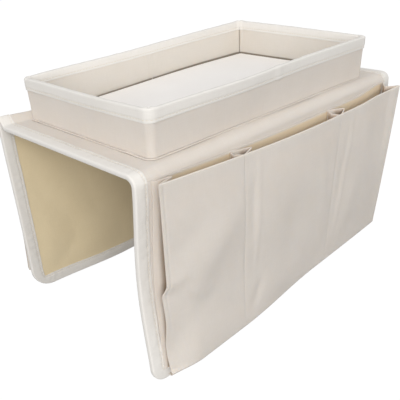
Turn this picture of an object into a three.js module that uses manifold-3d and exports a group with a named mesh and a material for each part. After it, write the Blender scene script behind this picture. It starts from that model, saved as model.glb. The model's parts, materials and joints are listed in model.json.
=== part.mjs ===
// Armrest organizer: a stiffened fabric saddle that hangs over a sofa arm, with a
// shallow bound tray on top and three bellows pockets on each hanging flap.
// Millimetres, +Z up. X runs along the arm, the front flap faces -Y, and the lower
// edges of both flaps stand on Z = 0.
import * as THREE from 'three';
import { mergeVertices } from 'three/addons/utils/BufferGeometryUtils.js';
import Module from 'manifold-3d';

// Saddle
const LENGTH = 360; // along the arm, over the binding
const WIDTH = 194; // across the arm, over the outer covers
const HEIGHT = 189; // lower edges of the flaps to the top cover
const FOLD_RADIUS = 9; // outside of the soft bend between top and flap
const FOLD_SLIT = 1; // straight run of the bend before a stiff panel starts
const FLAP_CORNER = 18; // rounded lower corners of the flaps

// Sheet stock
const FABRIC = 0.6;
const BOARD = 1.5; // grey board between cover and lining
const BOARD_INSET = 3.5; // fabric edge to board edge
const TAPE = 0.6; // binding tape
const TAPE_REACH = 12; // lap of the saddle binding on each face
const GAP = 0.3; // room for thread and glue between two layers

// Tray
const TRAY_LEFT_MARGIN = 28; // end of the saddle to the tray wall
const TRAY_RIGHT_MARGIN = 35;
const TRAY_SIDE_MARGIN = 10; // outer cover of a flap to the tray wall
const TRAY_HEIGHT = 39.5; // top cover to the bound rim
const TRAY_CORNER = 9; // outside corner of the wall
const TRAY_CREASE = 2.5; // inside corner, pulled to a crease
const TRAY_LIP = 1.2; // sewn edge of the tray's base past the wall
const RIM_REACH = 10; // lap of the rim binding on each face
const WALL_SEAM = 3; // gap between two wall boards at the mid-length seam
const FLOOR_PLAY = 1; // loose floor panel to rim binding
const FLOOR_CORNER = 3;
const FLOOR_TURN_IN = 14; // fabric turned under the floor board

// Pockets
const POCKET_MARGIN = 2; // flap binding to the first and last pocket
const MIDDLE_POCKET = 138; // between the two dividers
const MIDDLE_SHIFT = 9; // middle pocket from the middle of its flap
const POCKET_PART = 1.5; // slit between neighbouring pocket faces
const POCKET_RISE = 3; // lower edge of the flap to the pocket's bottom seam
const MOUTH_DROP = 13; // top cover to the pocket mouth
const BACK_RISE = 3; // back sheet above the mouth
const SEAT_STAND = 6; // face to flap at the bottom bend
const MOUTH_STAND = 15.2; // face to flap at the mouth
const BOTTOM_BEND = 4; // radius inside the bottom bend
const MOUTH_BOW = 2.5; // the mouth's middle past its two ends
const HEM = 10; // folded hem at the mouth
const GUSSET_DEPTH = 14; // how far a side gusset folds into its pocket

// How finely round and bowed forms are divided
const ARC_STEPS = 6; // in a quarter turn
const FACE_STEPS = 8;
const BELLY_STEPS = 6;
const OVERCUT = 1; // cutting tools run this far past what they cut
const SAME_POINT = 1e-5; // corners closer than this are one

// Worked out
const PANEL = 2 * FABRIC + BOARD + 2 * GAP;
const TAPE_PROUD = TAPE + GAP;
const BOUND_PANEL = PANEL + 2 * TAPE_PROUD;
const COVER_FACE = WIDTH / 2;
const FLAP_TOP = HEIGHT - FOLD_RADIUS - FOLD_SLIT;
const TOP_HALF = COVER_FACE - FOLD_RADIUS - FOLD_SLIT;
const PANEL_HALF = LENGTH / 2 - TAPE_PROUD;
const BOARD_DEPTH = FABRIC + GAP; // outer face of a panel down to its board
const LINING_DEPTH = PANEL - FABRIC; // outer face of a panel down to its lining
const TRAY_LENGTH = LENGTH - TRAY_LEFT_MARGIN - TRAY_RIGHT_MARGIN;
const TRAY_WIDTH = WIDTH - 2 * TRAY_SIDE_MARGIN;
const TRAY_SHIFT = (TRAY_LEFT_MARGIN - TRAY_RIGHT_MARGIN) / 2; // tray centre along X
const TRAY_BASE = HEIGHT + GAP;
const WALL_FOOT = TRAY_BASE + FABRIC + GAP;
const RIM_TOP = HEIGHT + TRAY_HEIGHT;
const WALL_TOP = RIM_TOP - TAPE_PROUD;
const BACK_FACE = COVER_FACE + GAP + FABRIC;
const SEAM_FACE = COVER_FACE + TAPE_PROUD + GAP;
const POCKET_SPAN = LENGTH - 2 * (TAPE_REACH + POCKET_MARGIN);
const MOUTH = HEIGHT - MOUTH_DROP;
const BELLY_FOOT = POCKET_RISE + FABRIC + BOTTOM_BEND;

const wasm = await Module();
wasm.setup();

// Materials
function cloth(color, roughness = 0.9) {
  return new THREE.MeshStandardMaterial({ color, roughness, metalness: 0 });
}

const CREAM = 0xe6dfd5;
const KHAKI = 0xb9a684;
const WHITE = 0xf0eeea;
const PALE = 0xf1ece6;
const GREY_BOARD = 0x9c9488;

// Solids to be joined or cut, and back to geometry
function toSolid(geometry) {
  const bare = geometry.clone();
  bare.deleteAttribute('normal');
  bare.deleteAttribute('uv');
  const merged = mergeVertices(bare, SAME_POINT);
  return new wasm.Manifold(
    new wasm.Mesh({
      numProp: 3,
      vertProperties: new Float32Array(merged.attributes.position.array),
      triVerts: new Uint32Array(merged.index.array),
    }),
  );
}

function toGeometry(solid) {
  const mesh = solid.getMesh();
  const geometry = new THREE.BufferGeometry();
  geometry.setAttribute('position', new THREE.BufferAttribute(mesh.vertProperties, mesh.numProp));
  geometry.setIndex(new THREE.BufferAttribute(mesh.triVerts, 1));
  geometry.computeVertexNormals();
  return geometry;
}

function cut(geometry, ...tools) {
  const solid = tools.reduce((left, tool) => left.subtract(toSolid(tool)), toSolid(geometry));
  return toGeometry(solid);
}

function join(...geometries) {
  return toGeometry(geometries.map(toSolid).reduce((left, right) => left.add(right)));
}

// Rectangle about the origin with rounded corners
function roundedRectangle(length, width, radius) {
  const x = length / 2 - radius;
  const y = width / 2 - radius;
  const shape = new THREE.Shape();
  shape.absarc(x, y, radius, 0, Math.PI / 2);
  shape.absarc(-x, y, radius, Math.PI / 2, Math.PI);
  shape.absarc(-x, -y, radius, Math.PI, Math.PI * 1.5);
  shape.absarc(x, -y, radius, Math.PI * 1.5, Math.PI * 2);
  return shape;
}

// Flap outline in X and Z: square at the top, rounded at the bottom
function flapOutline(half, bottom, top, radius) {
  const shape = new THREE.Shape();
  shape.moveTo(half, top);
  shape.lineTo(-half, top);
  shape.absarc(-half + radius, bottom + radius, radius, Math.PI, Math.PI * 1.5);
  shape.absarc(half - radius, bottom + radius, radius, Math.PI * 1.5, Math.PI * 2);
  return shape;
}

// An arc of a shape is drawn in twice as many lines as its curve segments
function extrude(shape, depth) {
  const curveSegments = ARC_STEPS / 2;
  return new THREE.ExtrudeGeometry(shape, { depth, bevelEnabled: false, curveSegments });
}

// A flat piece whose shape lies in X and Y, standing up from a level
function layFlat(shape, thickness, bottom) {
  return extrude(shape, thickness).translate(0, 0, bottom);
}

// A flat piece whose shape lies in X and Z, its outer side facing +Y
function standUp(shape, thickness, outerFace) {
  return extrude(shape, thickness)
    .rotateX(Math.PI / 2)
    .translate(0, outerFace, 0);
}

// A piece whose section lies in Y and Z, centred along X
function runAlongX(shape, length, centre = 0) {
  return extrude(shape, length)
    .translate(0, 0, -length / 2)
    .applyMatrix4(
      new THREE.Matrix4().makeBasis(
        new THREE.Vector3(0, 1, 0),
        new THREE.Vector3(0, 0, 1),
        new THREE.Vector3(1, 0, 0),
      ),
    )
    .translate(centre, 0, 0);
}

// Closed skin over a row of like sections, with both ends capped
function loft(rows) {
  const along = rows[rows.length - 1][0].clone().sub(rows[0][0]);
  const flatten = Math.abs(along.x) > Math.abs(along.z) ? (p) => [p.y, p.z] : (p) => [p.x, p.y];
  const flat = (row) => row.map((p) => new THREE.Vector2(...flatten(p)));
  const clockwise = THREE.ShapeUtils.area(flat(rows[0])) < 0;
  const sections = clockwise ? rows.map((row) => [...row].reverse()) : rows;
  const count = sections[0].length;
  const index = [];
  for (let s = 0; s + 1 < sections.length; s += 1) {
    const low = s * count;
    const high = low + count;
    for (let i = 0; i < count; i += 1) {
      const j = (i + 1) % count;
      index.push(low + i, low + j, high + j);
      index.push(low + i, high + j, high + i);
    }
  }
  const end = (sections.length - 1) * count;
  for (const [a, b, c] of THREE.ShapeUtils.triangulateShape(flat(sections[0]), [])) {
    index.push(a, c, b);
    index.push(end + a, end + b, end + c);
  }
  const geometry = new THREE.BufferGeometry().setFromPoints(sections.flat());
  geometry.setIndex(index);
  geometry.computeVertexNormals();
  return geometry;
}

function addPiece(group, name, geometry, material) {
  const piece = new THREE.Mesh(geometry, material);
  piece.name = name;
  group.add(piece);
}

// Top panel: cover, board and lining, bound along both ends
function buildTop() {
  const group = new THREE.Group();
  const spans = 3; // the middle span of the lining is a clear seat between the bindings
  const sheet = (thickness, inset, top) =>
    new THREE.BoxGeometry(
      2 * (PANEL_HALF - inset),
      2 * (TOP_HALF - inset),
      thickness,
      spans,
    ).translate(0, 0, top - thickness / 2);
  addPiece(group, 'top_cover', sheet(FABRIC, 0, HEIGHT), cloth(CREAM));
  addPiece(group, 'top_board', sheet(BOARD, BOARD_INSET, HEIGHT - BOARD_DEPTH), cloth(GREY_BOARD));
  addPiece(group, 'top_lining', sheet(FABRIC, 0, HEIGHT - LINING_DEPTH), cloth(KHAKI));
  for (const [side, sign] of [['left', -1], ['right', 1]]) {
    addPiece(group, `top_tape_${side}`, topTape(sign), cloth(WHITE));
  }
  return group;
}

// Channel of tape folded over one end of the top panel
function topTape(sign) {
  const block = new THREE.BoxGeometry(TAPE_REACH, 2 * TOP_HALF, BOUND_PANEL);
  const slot = new THREE.BoxGeometry(TAPE_REACH, 2 * (TOP_HALF + OVERCUT), PANEL + 2 * GAP);
  slot.translate(-sign * TAPE, 0, 0);
  const centre = sign * (LENGTH / 2 - TAPE_REACH / 2);
  return cut(block, slot).translate(centre, 0, HEIGHT - PANEL / 2);
}

// Quarter bend about the fold line, with a short straight run at each end
function bendSection(inner, outer) {
  const run = FOLD_SLIT - GAP;
  const shape = new THREE.Shape();
  shape.moveTo(outer, -run);
  shape.absarc(0, 0, outer, 0, Math.PI / 2);
  shape.lineTo(-run, outer);
  shape.lineTo(-run, inner);
  shape.absarc(0, 0, inner, Math.PI / 2, 0, true);
  shape.lineTo(inner, -run);
  return shape;
}

// Soft bend between top and flap, with no board inside, bound at both ends
function buildFold(side, turned) {
  const group = new THREE.Group();
  const place = (geometry) =>
    geometry.translate(0, COVER_FACE - FOLD_RADIUS, HEIGHT - FOLD_RADIUS);
  const band = (depth, thickness, length, centre) =>
    runAlongX(bendSection(FOLD_RADIUS - depth - thickness, FOLD_RADIUS - depth), length, centre);
  addPiece(group, `${side}_fold_cover`, place(band(0, FABRIC, 2 * PANEL_HALF)), cloth(CREAM));
  addPiece(group, `${side}_fold_lining`, place(band(LINING_DEPTH, FABRIC, 2 * PANEL_HALF)), cloth(KHAKI));
  for (const [end, sign] of [['left', -1], ['right', 1]]) {
    const local = turned ? -sign : sign;
    const lap = local * (LENGTH / 2 - TAPE_REACH / 2);
    const edge = local * (LENGTH / 2 - TAPE / 2);
    const tape = join(
      band(-TAPE_PROUD, TAPE, TAPE_REACH, lap),
      band(PANEL + GAP, TAPE, TAPE_REACH, lap),
      band(-TAPE_PROUD, BOUND_PANEL, TAPE, edge),
    );
    addPiece(group, `${side}_fold_tape_${end}`, place(tape), cloth(WHITE));
  }
  return group;
}

// Outline of a flap's fabric, drawn in from the binding's own outline
function insetOutline(inset, extraTop = 0) {
  const radius = Math.max(FLAP_CORNER - inset, FABRIC);
  return flapOutline(LENGTH / 2 - inset, inset, FLAP_TOP + extraTop, radius);
}

// Hanging flap: cover, board, lining and the binding round its three free edges
function buildFlap(side) {
  const group = new THREE.Group();
  const boardInset = TAPE_PROUD + BOARD_INSET;
  const boardOutline = flapOutline(
    LENGTH / 2 - boardInset,
    boardInset,
    FLAP_TOP - BOARD_INSET,
    Math.max(FLAP_CORNER - boardInset, FABRIC),
  );
  const cover = standUp(insetOutline(TAPE_PROUD), FABRIC, COVER_FACE);
  const board = standUp(boardOutline, BOARD, COVER_FACE - BOARD_DEPTH);
  const lining = standUp(insetOutline(TAPE_PROUD), FABRIC, COVER_FACE - LINING_DEPTH);
  addPiece(group, `${side}_cover`, cover, cloth(CREAM));
  addPiece(group, `${side}_board`, board, cloth(GREY_BOARD));
  addPiece(group, `${side}_lining`, lining, cloth(KHAKI));
  addPiece(group, `${side}_tape`, flapTape(), cloth(WHITE));
  return group;
}

function flapTape() {
  const block = standUp(insetOutline(0), BOUND_PANEL, COVER_FACE + TAPE_PROUD);
  const slot = standUp(insetOutline(TAPE, OVERCUT), PANEL + 2 * GAP, COVER_FACE + GAP);
  const through = BOUND_PANEL + 2 * OVERCUT;
  const opening = standUp(insetOutline(TAPE_REACH, OVERCUT), through, COVER_FACE + TAPE_PROUD + OVERCUT);
  return cut(block, slot, opening);
}

// Clear stand of a pocket face off the flap, from the bottom bend up to the mouth
function standAt(level) {
  const share = (level - BELLY_FOOT) / (MOUTH - BELLY_FOOT);
  return SEAT_STAND + (MOUTH_STAND - SEAT_STAND) * (1 - (1 - share) ** 2);
}

// Section of a pocket face: bottom seam, round bend, belly and folded hem
function faceSection(x, bow) {
  const point = (y, z) => new THREE.Vector3(x, y, z);
  const outside = [point(SEAM_FACE, POCKET_RISE)];
  const inside = [point(SEAM_FACE, POCKET_RISE + FABRIC)];
  const bendCentre = COVER_FACE + SEAT_STAND - BOTTOM_BEND;
  for (let i = 0; i < ARC_STEPS; i += 1) {
    const angle = (i / ARC_STEPS) * (Math.PI / 2);
    const along = Math.sin(angle);
    const down = Math.cos(angle);
    const outer = BOTTOM_BEND + FABRIC;
    outside.push(point(bendCentre + outer * along, BELLY_FOOT - outer * down));
    inside.push(point(bendCentre + BOTTOM_BEND * along, BELLY_FOOT - BOTTOM_BEND * down));
  }
  const hemFoot = MOUTH - HEM;
  for (let i = 0; i <= BELLY_STEPS; i += 1) {
    const share = i / BELLY_STEPS;
    const level = BELLY_FOOT + (hemFoot - BELLY_FOOT) * share;
    const face = COVER_FACE + standAt(level) + bow * Math.sin((share * Math.PI) / 2);
    outside.push(point(face + FABRIC, level));
    inside.push(point(face, level));
  }
  const hemFace = COVER_FACE + standAt(hemFoot) + bow;
  const mouthFace = COVER_FACE + standAt(MOUTH) + bow;
  outside.push(point(mouthFace + FABRIC, MOUTH));
  inside.push(point(hemFace - FABRIC, hemFoot), point(mouthFace - FABRIC, MOUTH));
  return [...outside, ...inside.reverse()];
}

function pocketFace(from, to) {
  const sections = [];
  for (let i = 0; i <= FACE_STEPS; i += 1) {
    const across = i / FACE_STEPS;
    const bow = MOUTH_BOW * (1 - (2 * across - 1) ** 2);
    sections.push(faceSection(from + (to - from) * across, bow));
  }
  return loft(sections);
}

// Side gusset: two leaves that fold into the pocket from the edge of its face
function gusset(edge, inward) {
  const root = BACK_FACE + GAP;
  const foot = TAPE_REACH + GAP;
  const sections = [];
  for (let i = 0; i <= BELLY_STEPS; i += 1) {
    const level = foot + ((MOUTH - foot) * i) / BELLY_STEPS;
    const tip = COVER_FACE + standAt(level) - FABRIC - GAP;
    const middle = (root + tip) / 2;
    const slant = Math.hypot(GUSSET_DEPTH, middle - root) / GUSSET_DEPTH;
    const skin = FABRIC * slant;
    const nose = (skin * GUSSET_DEPTH) / (middle - root);
    const point = (depth, y) => new THREE.Vector3(edge + inward * depth, y, level);
    sections.push([
      point(0, root),
      point(GUSSET_DEPTH, middle),
      point(0, tip),
      point(0, tip - skin),
      point(Math.max(GUSSET_DEPTH - nose, GUSSET_DEPTH / 2), middle),
      point(0, root + skin),
    ]);
  }
  return loft(sections);
}

// Three bellows pockets on one back sheet
function buildPockets(side, turned) {
  const group = new THREE.Group();
  const backTop = MOUTH + BACK_RISE;
  const backFoot = TAPE_REACH + GAP;
  const backCorner = Math.max(FLAP_CORNER - TAPE_REACH, FABRIC);
  const backOutline = flapOutline(POCKET_SPAN / 2, backFoot, backTop, backCorner);
  addPiece(group, `${side}_pocket_back`, standUp(backOutline, FABRIC, BACK_FACE), cloth(CREAM));
  const dividers = [-1, 1].map((end) => MIDDLE_SHIFT + (end * MIDDLE_POCKET) / 2);
  const edges = [-POCKET_SPAN / 2, ...dividers, POCKET_SPAN / 2];
  const names = turned ? ['right', 'middle', 'left'] : ['left', 'middle', 'right'];
  const ends = turned ? ['right', 'left'] : ['left', 'right'];
  names.forEach((name, i) => {
    const from = edges[i] + POCKET_PART / 2;
    const to = edges[i + 1] - POCKET_PART / 2;
    const label = `${side}_${name}_pocket`;
    addPiece(group, `${label}_face`, pocketFace(from, to), cloth(CREAM));
    addPiece(group, `${label}_gusset_${ends[0]}`, gusset(from, 1), cloth(CREAM));
    addPiece(group, `${label}_gusset_${ends[1]}`, gusset(to, -1), cloth(CREAM));
  });
  return group;
}

// Ring of wall between two depths from the tray's outer face
function trayRing(depth, thickness, outerCorner, innerCorner, bottom, top) {
  const ring = roundedRectangle(TRAY_LENGTH - 2 * depth, TRAY_WIDTH - 2 * depth, outerCorner);
  const inset = depth + thickness;
  ring.holes.push(roundedRectangle(TRAY_LENGTH - 2 * inset, TRAY_WIDTH - 2 * inset, innerCorner));
  return layFlat(ring, top - bottom, bottom);
}

// Tray: sewn base, outer cover, lining, wall boards and bound rim
function buildTray() {
  const group = new THREE.Group();
  group.position.x = TRAY_SHIFT;
  const base = roundedRectangle(
    TRAY_LENGTH + 2 * TRAY_LIP,
    TRAY_WIDTH + 2 * TRAY_LIP,
    TRAY_CORNER + TRAY_LIP,
  );
  addPiece(group, 'tray_base_sheet', layFlat(base, FABRIC, TRAY_BASE), cloth(CREAM));
  const cover = trayRing(0, FABRIC, TRAY_CORNER, TRAY_CORNER - FABRIC, WALL_FOOT, WALL_TOP);
  addPiece(group, 'tray_outer_cover', cover, cloth(CREAM));
  const lining = trayRing(LINING_DEPTH, FABRIC, TRAY_CREASE + FABRIC, TRAY_CREASE, WALL_FOOT, WALL_TOP);
  addPiece(group, 'tray_lining', lining, cloth(CREAM));
  addPiece(group, 'tray_rim_tape', rimTape(), cloth(WHITE));
  addWallBoards(group);
  return group;
}

function rimTape() {
  const foot = RIM_TOP - RIM_REACH;
  const corner = TRAY_CORNER + TAPE_PROUD;
  const crease = Math.max(TRAY_CREASE - TAPE_PROUD, GAP);
  const block = trayRing(-TAPE_PROUD, BOUND_PANEL, corner, crease, foot, RIM_TOP);
  const slot = trayRing(-GAP, PANEL + 2 * GAP, TRAY_CORNER + GAP, TRAY_CREASE, foot - OVERCUT, WALL_TOP + GAP);
  return cut(block, slot);
}

// Wall boards end where the corner bends start, and the long ones meet at a seam
function addWallBoards(group) {
  const height = WALL_TOP - WALL_FOOT - 2 * GAP;
  const middle = (WALL_TOP + WALL_FOOT) / 2;
  const across = TRAY_WIDTH / 2 - BOARD_DEPTH - BOARD / 2;
  const along = TRAY_LENGTH / 2 - BOARD_DEPTH - BOARD / 2;
  const shortRun = TRAY_WIDTH - 2 * TRAY_CORNER;
  const longRun = TRAY_LENGTH / 2 - TRAY_CORNER - WALL_SEAM / 2;
  const longCentre = (longRun + WALL_SEAM) / 2;
  for (const [end, sign] of [['left', -1], ['right', 1]]) {
    const short = new THREE.BoxGeometry(BOARD, shortRun, height).translate(sign * along, 0, middle);
    addPiece(group, `tray_board_${end}`, short, cloth(GREY_BOARD));
    for (const [side, way] of [['front', -1], ['rear', 1]]) {
      const long = new THREE.BoxGeometry(longRun, BOARD, height);
      long.translate(sign * longCentre, way * across, middle);
      addPiece(group, `tray_board_${side}_${end}`, long, cloth(GREY_BOARD));
    }
  }
}

// Loose floor panel: a board with its cover turned under all round
function buildFloor() {
  const group = new THREE.Group();
  group.position.set(TRAY_SHIFT, 0, WALL_FOOT);
  const inset = PANEL + TAPE_PROUD + FLOOR_PLAY;
  const length = TRAY_LENGTH - 2 * inset;
  const width = TRAY_WIDTH - 2 * inset;
  const skin = FABRIC + GAP;
  const plate = (margin, thickness, bottom) =>
    layFlat(
      roundedRectangle(length - 2 * margin, width - 2 * margin, Math.max(FLOOR_CORNER - margin, GAP)),
      thickness,
      bottom,
    );
  const room = plate(FABRIC, BOARD + 2 * GAP, FABRIC);
  const opening = plate(FLOOR_TURN_IN, FABRIC + 2 * OVERCUT, -OVERCUT);
  addPiece(group, 'tray_floor_cover', cut(plate(0, PANEL, 0), room, opening), cloth(PALE));
  addPiece(group, 'tray_floor_board', plate(skin, BOARD, skin), cloth(GREY_BOARD));
  return group;
}

function buildSide(side, turned) {
  const group = new THREE.Group();
  group.rotation.z = turned ? Math.PI : 0;
  group.add(buildFold(side, turned), buildFlap(side), buildPockets(side, turned));
  return group;
}

const organizer = new THREE.Group();
organizer.name = 'armrest_organizer';
organizer.add(
  buildTop(),
  buildSide('front', true),
  buildSide('rear', false),
  buildTray(),
  buildFloor(),
);

export default organizer;
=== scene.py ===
"""Armrest organizer: cloth, binding, thread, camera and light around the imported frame."""

import json
import logging
import math
from dataclasses import dataclass, replace
from enum import Enum
from functools import partial

import bmesh
import bpy
import numpy as np
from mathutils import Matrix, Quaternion, Vector


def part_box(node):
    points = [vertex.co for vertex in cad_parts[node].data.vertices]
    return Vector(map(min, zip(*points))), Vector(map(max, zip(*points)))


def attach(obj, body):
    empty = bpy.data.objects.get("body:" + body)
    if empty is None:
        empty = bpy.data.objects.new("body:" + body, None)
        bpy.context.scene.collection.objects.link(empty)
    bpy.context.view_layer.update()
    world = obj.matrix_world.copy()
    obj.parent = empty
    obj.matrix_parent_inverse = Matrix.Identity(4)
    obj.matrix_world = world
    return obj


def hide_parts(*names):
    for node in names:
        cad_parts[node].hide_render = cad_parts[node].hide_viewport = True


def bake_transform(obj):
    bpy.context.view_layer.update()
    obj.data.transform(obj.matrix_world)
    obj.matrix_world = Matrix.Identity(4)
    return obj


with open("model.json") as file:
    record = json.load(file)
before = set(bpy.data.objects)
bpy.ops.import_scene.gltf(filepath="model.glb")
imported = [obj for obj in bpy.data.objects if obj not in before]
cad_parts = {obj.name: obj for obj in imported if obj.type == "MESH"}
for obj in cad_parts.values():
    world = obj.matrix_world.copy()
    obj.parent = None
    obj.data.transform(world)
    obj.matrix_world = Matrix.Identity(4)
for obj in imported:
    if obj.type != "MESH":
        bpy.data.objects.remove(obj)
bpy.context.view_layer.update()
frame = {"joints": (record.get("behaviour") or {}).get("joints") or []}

MM = 0.001
CLOTH_MAP = "Cloth"
# Name of the map of painted shade, from 0 to 1, that each cloth piece carries.
PAINTED_SHADE_MAP = "Depth"
SAME_POINT = 1e-7
SMOOTH_BELOW = math.radians(50)
QUARTER = math.pi / 2
COARSE = 4 * MM
FINE = 1 * MM
FINEST = 0.5 * MM
TAPE_CROWN = 0.15 * MM
TAPE_EDGE = 1.5 * MM
SEAM_IN = 2.2 * MM
SEAM_DRAW = 0.35 * MM
SEAM_SPREAD = 0.8 * MM
SEAM_BESIDE = 2 * MM
STITCH_SINK = 0.25 * MM
log = logging.getLogger("organizer")


class Side(Enum):
    """The two hanging flaps. Both are laid out as the front one, and the rear one is turned."""

    FRONT = "front"
    REAR = "rear"

    @property
    def near(self) -> float:
        """Which end of the laid-out flap is the open near end, as a sign along X."""
        return -1.0 if self is Side.FRONT else 1.0

    @property
    def ends(self) -> tuple[str, str]:
        """Names of the laid-out flap's low and high end."""
        return ("left", "right") if self is Side.FRONT else ("right", "left")

    @property
    def places(self) -> tuple[str, str, str]:
        """Names of the three pockets, from the laid-out flap's low end."""
        return (self.ends[0], "middle", self.ends[1])

    def turn(self, points: np.ndarray) -> np.ndarray:
        """Points laid out for the front, turned half round Z for the rear."""
        return points if self is Side.FRONT else points * np.array((-1.0, -1.0, 1.0))


class Slot(Enum):
    """Material slots of the record."""

    COVER = "cover_fabric"
    LINING = "lining_fabric"
    BINDING = "binding_tape"
    FLOOR = "floor_fabric"
    BOARD = "grey_board"


class Held(Enum):
    """How a sheet of cloth is held."""

    HUNG = "hung"
    LAID = "laid"
    FOLDED = "folded"
    STRETCHED = "stretched"


class Weave(Enum):
    """How the yarns of a cloth cross."""

    PLAIN = "plain"
    TWILL = "twill"


# Nodes, and arithmetic on shader sockets


def add_node(tree: bpy.types.NodeTree, kind: str, settings: dict | None = None,
             inputs: dict | None = None) -> bpy.types.Node:
    """Makes a node, sets it and joins its inputs.

    Args:
        tree: the tree that it is added to.
        kind: the node's type.
        settings: its own properties, set first.
        inputs: values or sockets by the input's name or place.

    Returns:
        The node.
    """
    made = tree.nodes.new(kind)
    for name, value in (settings or {}).items():
        setattr(made, name, value)
    for key, value in (inputs or {}).items():
        if isinstance(value, bpy.types.NodeSocket):
            tree.links.new(value, made.inputs[key])
        else:
            made.inputs[key].default_value = value
    return made


class Wire:
    """A shader socket that takes part in plain arithmetic."""

    def __init__(self, desk: "Desk", socket: bpy.types.NodeSocket) -> None:
        """Keeps the socket and the desk that its nodes are made on."""
        self.desk = desk
        self.socket = socket

    def _math(self, operation: str, *values: "Wire | float") -> "Wire":
        """Adds one Math node with those inputs, in order."""
        return self.desk.node("ShaderNodeMath", {"operation": operation}, dict(enumerate(values)))

    def __add__(self, other: "Wire | float") -> "Wire":
        """Sum."""
        return self._math("ADD", self, other)

    def __sub__(self, other: "Wire | float") -> "Wire":
        """Difference."""
        return self._math("SUBTRACT", self, other)

    def __rsub__(self, other: float) -> "Wire":
        """Difference, with the number first."""
        return self._math("SUBTRACT", other, self)

    def __mul__(self, other: "Wire | float") -> "Wire":
        """Product."""
        return self._math("MULTIPLY", self, other)

    def __truediv__(self, other: "Wire | float") -> "Wire":
        """Quotient."""
        return self._math("DIVIDE", self, other)

    def sine(self) -> "Wire":
        """Sine, of an angle in radians."""
        return self._math("SINE", self)

    def size(self) -> "Wire":
        """Absolute value."""
        return self._math("ABSOLUTE", self)


class Desk:
    """Where one material's nodes are made and joined."""

    MIX_FIRST, MIX_SECOND, MIX_RESULT = 6, 7, 2
    OBJECT_OUTPUT = 3
    FACTOR_OUTPUT = 2

    def __init__(self, name: str) -> None:
        """Starts an empty material of that name.

        Args:
            name: the material's name.
        """
        self.material = bpy.data.materials.new(name)
        self.material.use_nodes = True
        self.tree = self.material.node_tree
        self.tree.nodes.clear()

    def node(self, kind: str, settings: dict | None = None, inputs: dict | None = None,
             output: int = 0) -> Wire:
        """Makes one of the material's nodes.

        Args:
            kind: the node's type.
            settings: its own properties, set first.
            inputs: values or wires by the input's name or place.
            output: place of the output that is wanted.

        Returns:
            That output.
        """
        given = (inputs or {}).items()
        joins = {key: value.socket if isinstance(value, Wire) else value for key, value in given}
        return Wire(self, add_node(self.tree, kind, settings, joins).outputs[output])

    def cloth_place(self) -> tuple[Wire, Wire]:
        """Place on the cloth, across and along, in metres."""
        place = self.node("ShaderNodeUVMap", {"uv_map": CLOTH_MAP})
        return tuple(self.node("ShaderNodeSeparateXYZ", {}, {0: place}, axis) for axis in range(2))

    def object_place(self) -> Wire:
        """Place in the object's frame, in metres."""
        return self.node("ShaderNodeTexCoord", output=self.OBJECT_OUTPUT)

    def noise(self, place: Wire, scale: float, detail: float = 2.0) -> Wire:
        """Smooth noise from 0 to 1, by how often it changes in a unit."""
        return self.node("ShaderNodeTexNoise", {}, {"Vector": place, "Scale": scale, "Detail": detail})

    def vector(self, x: Wire | float, y: Wire | float) -> Wire:
        """A vector in the plane."""
        return self.node("ShaderNodeCombineXYZ", {}, {"X": x, "Y": y})

    def painted_shade_share(self) -> Wire:
        """Share of painted shade at each place, from 0 to 1, set larger in folds and gaps."""
        return self.node("ShaderNodeAttribute", {"attribute_name": PAINTED_SHADE_MAP}, output=self.FACTOR_OUTPUT)

    def mix(self, share: Wire, first: tuple | Wire, second: tuple) -> Wire:
        """A colour between two.

        Args:
            share: how much of the second, from 0 to 1.
            first: linear colour, or a socket with one.
            second: linear colour.

        Returns:
            The mixed colour.
        """
        start = first if isinstance(first, Wire) else (*first, 1.0)
        inputs = {0: share, self.MIX_FIRST: start, self.MIX_SECOND: (*second, 1.0)}
        return self.node("ShaderNodeMix", {"data_type": "RGBA"}, inputs, self.MIX_RESULT)

    def bump(self, height: Wire, depth: float, strength: float) -> Wire:
        """A normal bent by a height, with the depth in metres of one unit of it."""
        return self.node("ShaderNodeBump", {}, {"Height": height, "Distance": depth, "Strength": strength})

    def surface(self, shader: Wire) -> bpy.types.Material:
        """Joins a shader to the material's output.

        Args:
            shader: the finished shader.

        Returns:
            The material.
        """
        output = self.tree.nodes.new("ShaderNodeOutputMaterial")
        self.tree.links.new(shader.socket, output.inputs["Surface"])
        return self.material


def linear(red: int, green: int, blue: int) -> tuple[float, float, float]:
    """A screen colour as linear light.

    Args:
        red: 0 to 255.
        green: 0 to 255.
        blue: 0 to 255.

    Returns:
        The three linear values.
    """
    def one(value: int) -> float:
        """One channel."""
        share = value / 255
        return share / 12.92 if share <= 0.04045 else ((share + 0.055) / 1.055) ** 2.4

    return one(red), one(green), one(blue)


# Finishes


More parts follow.
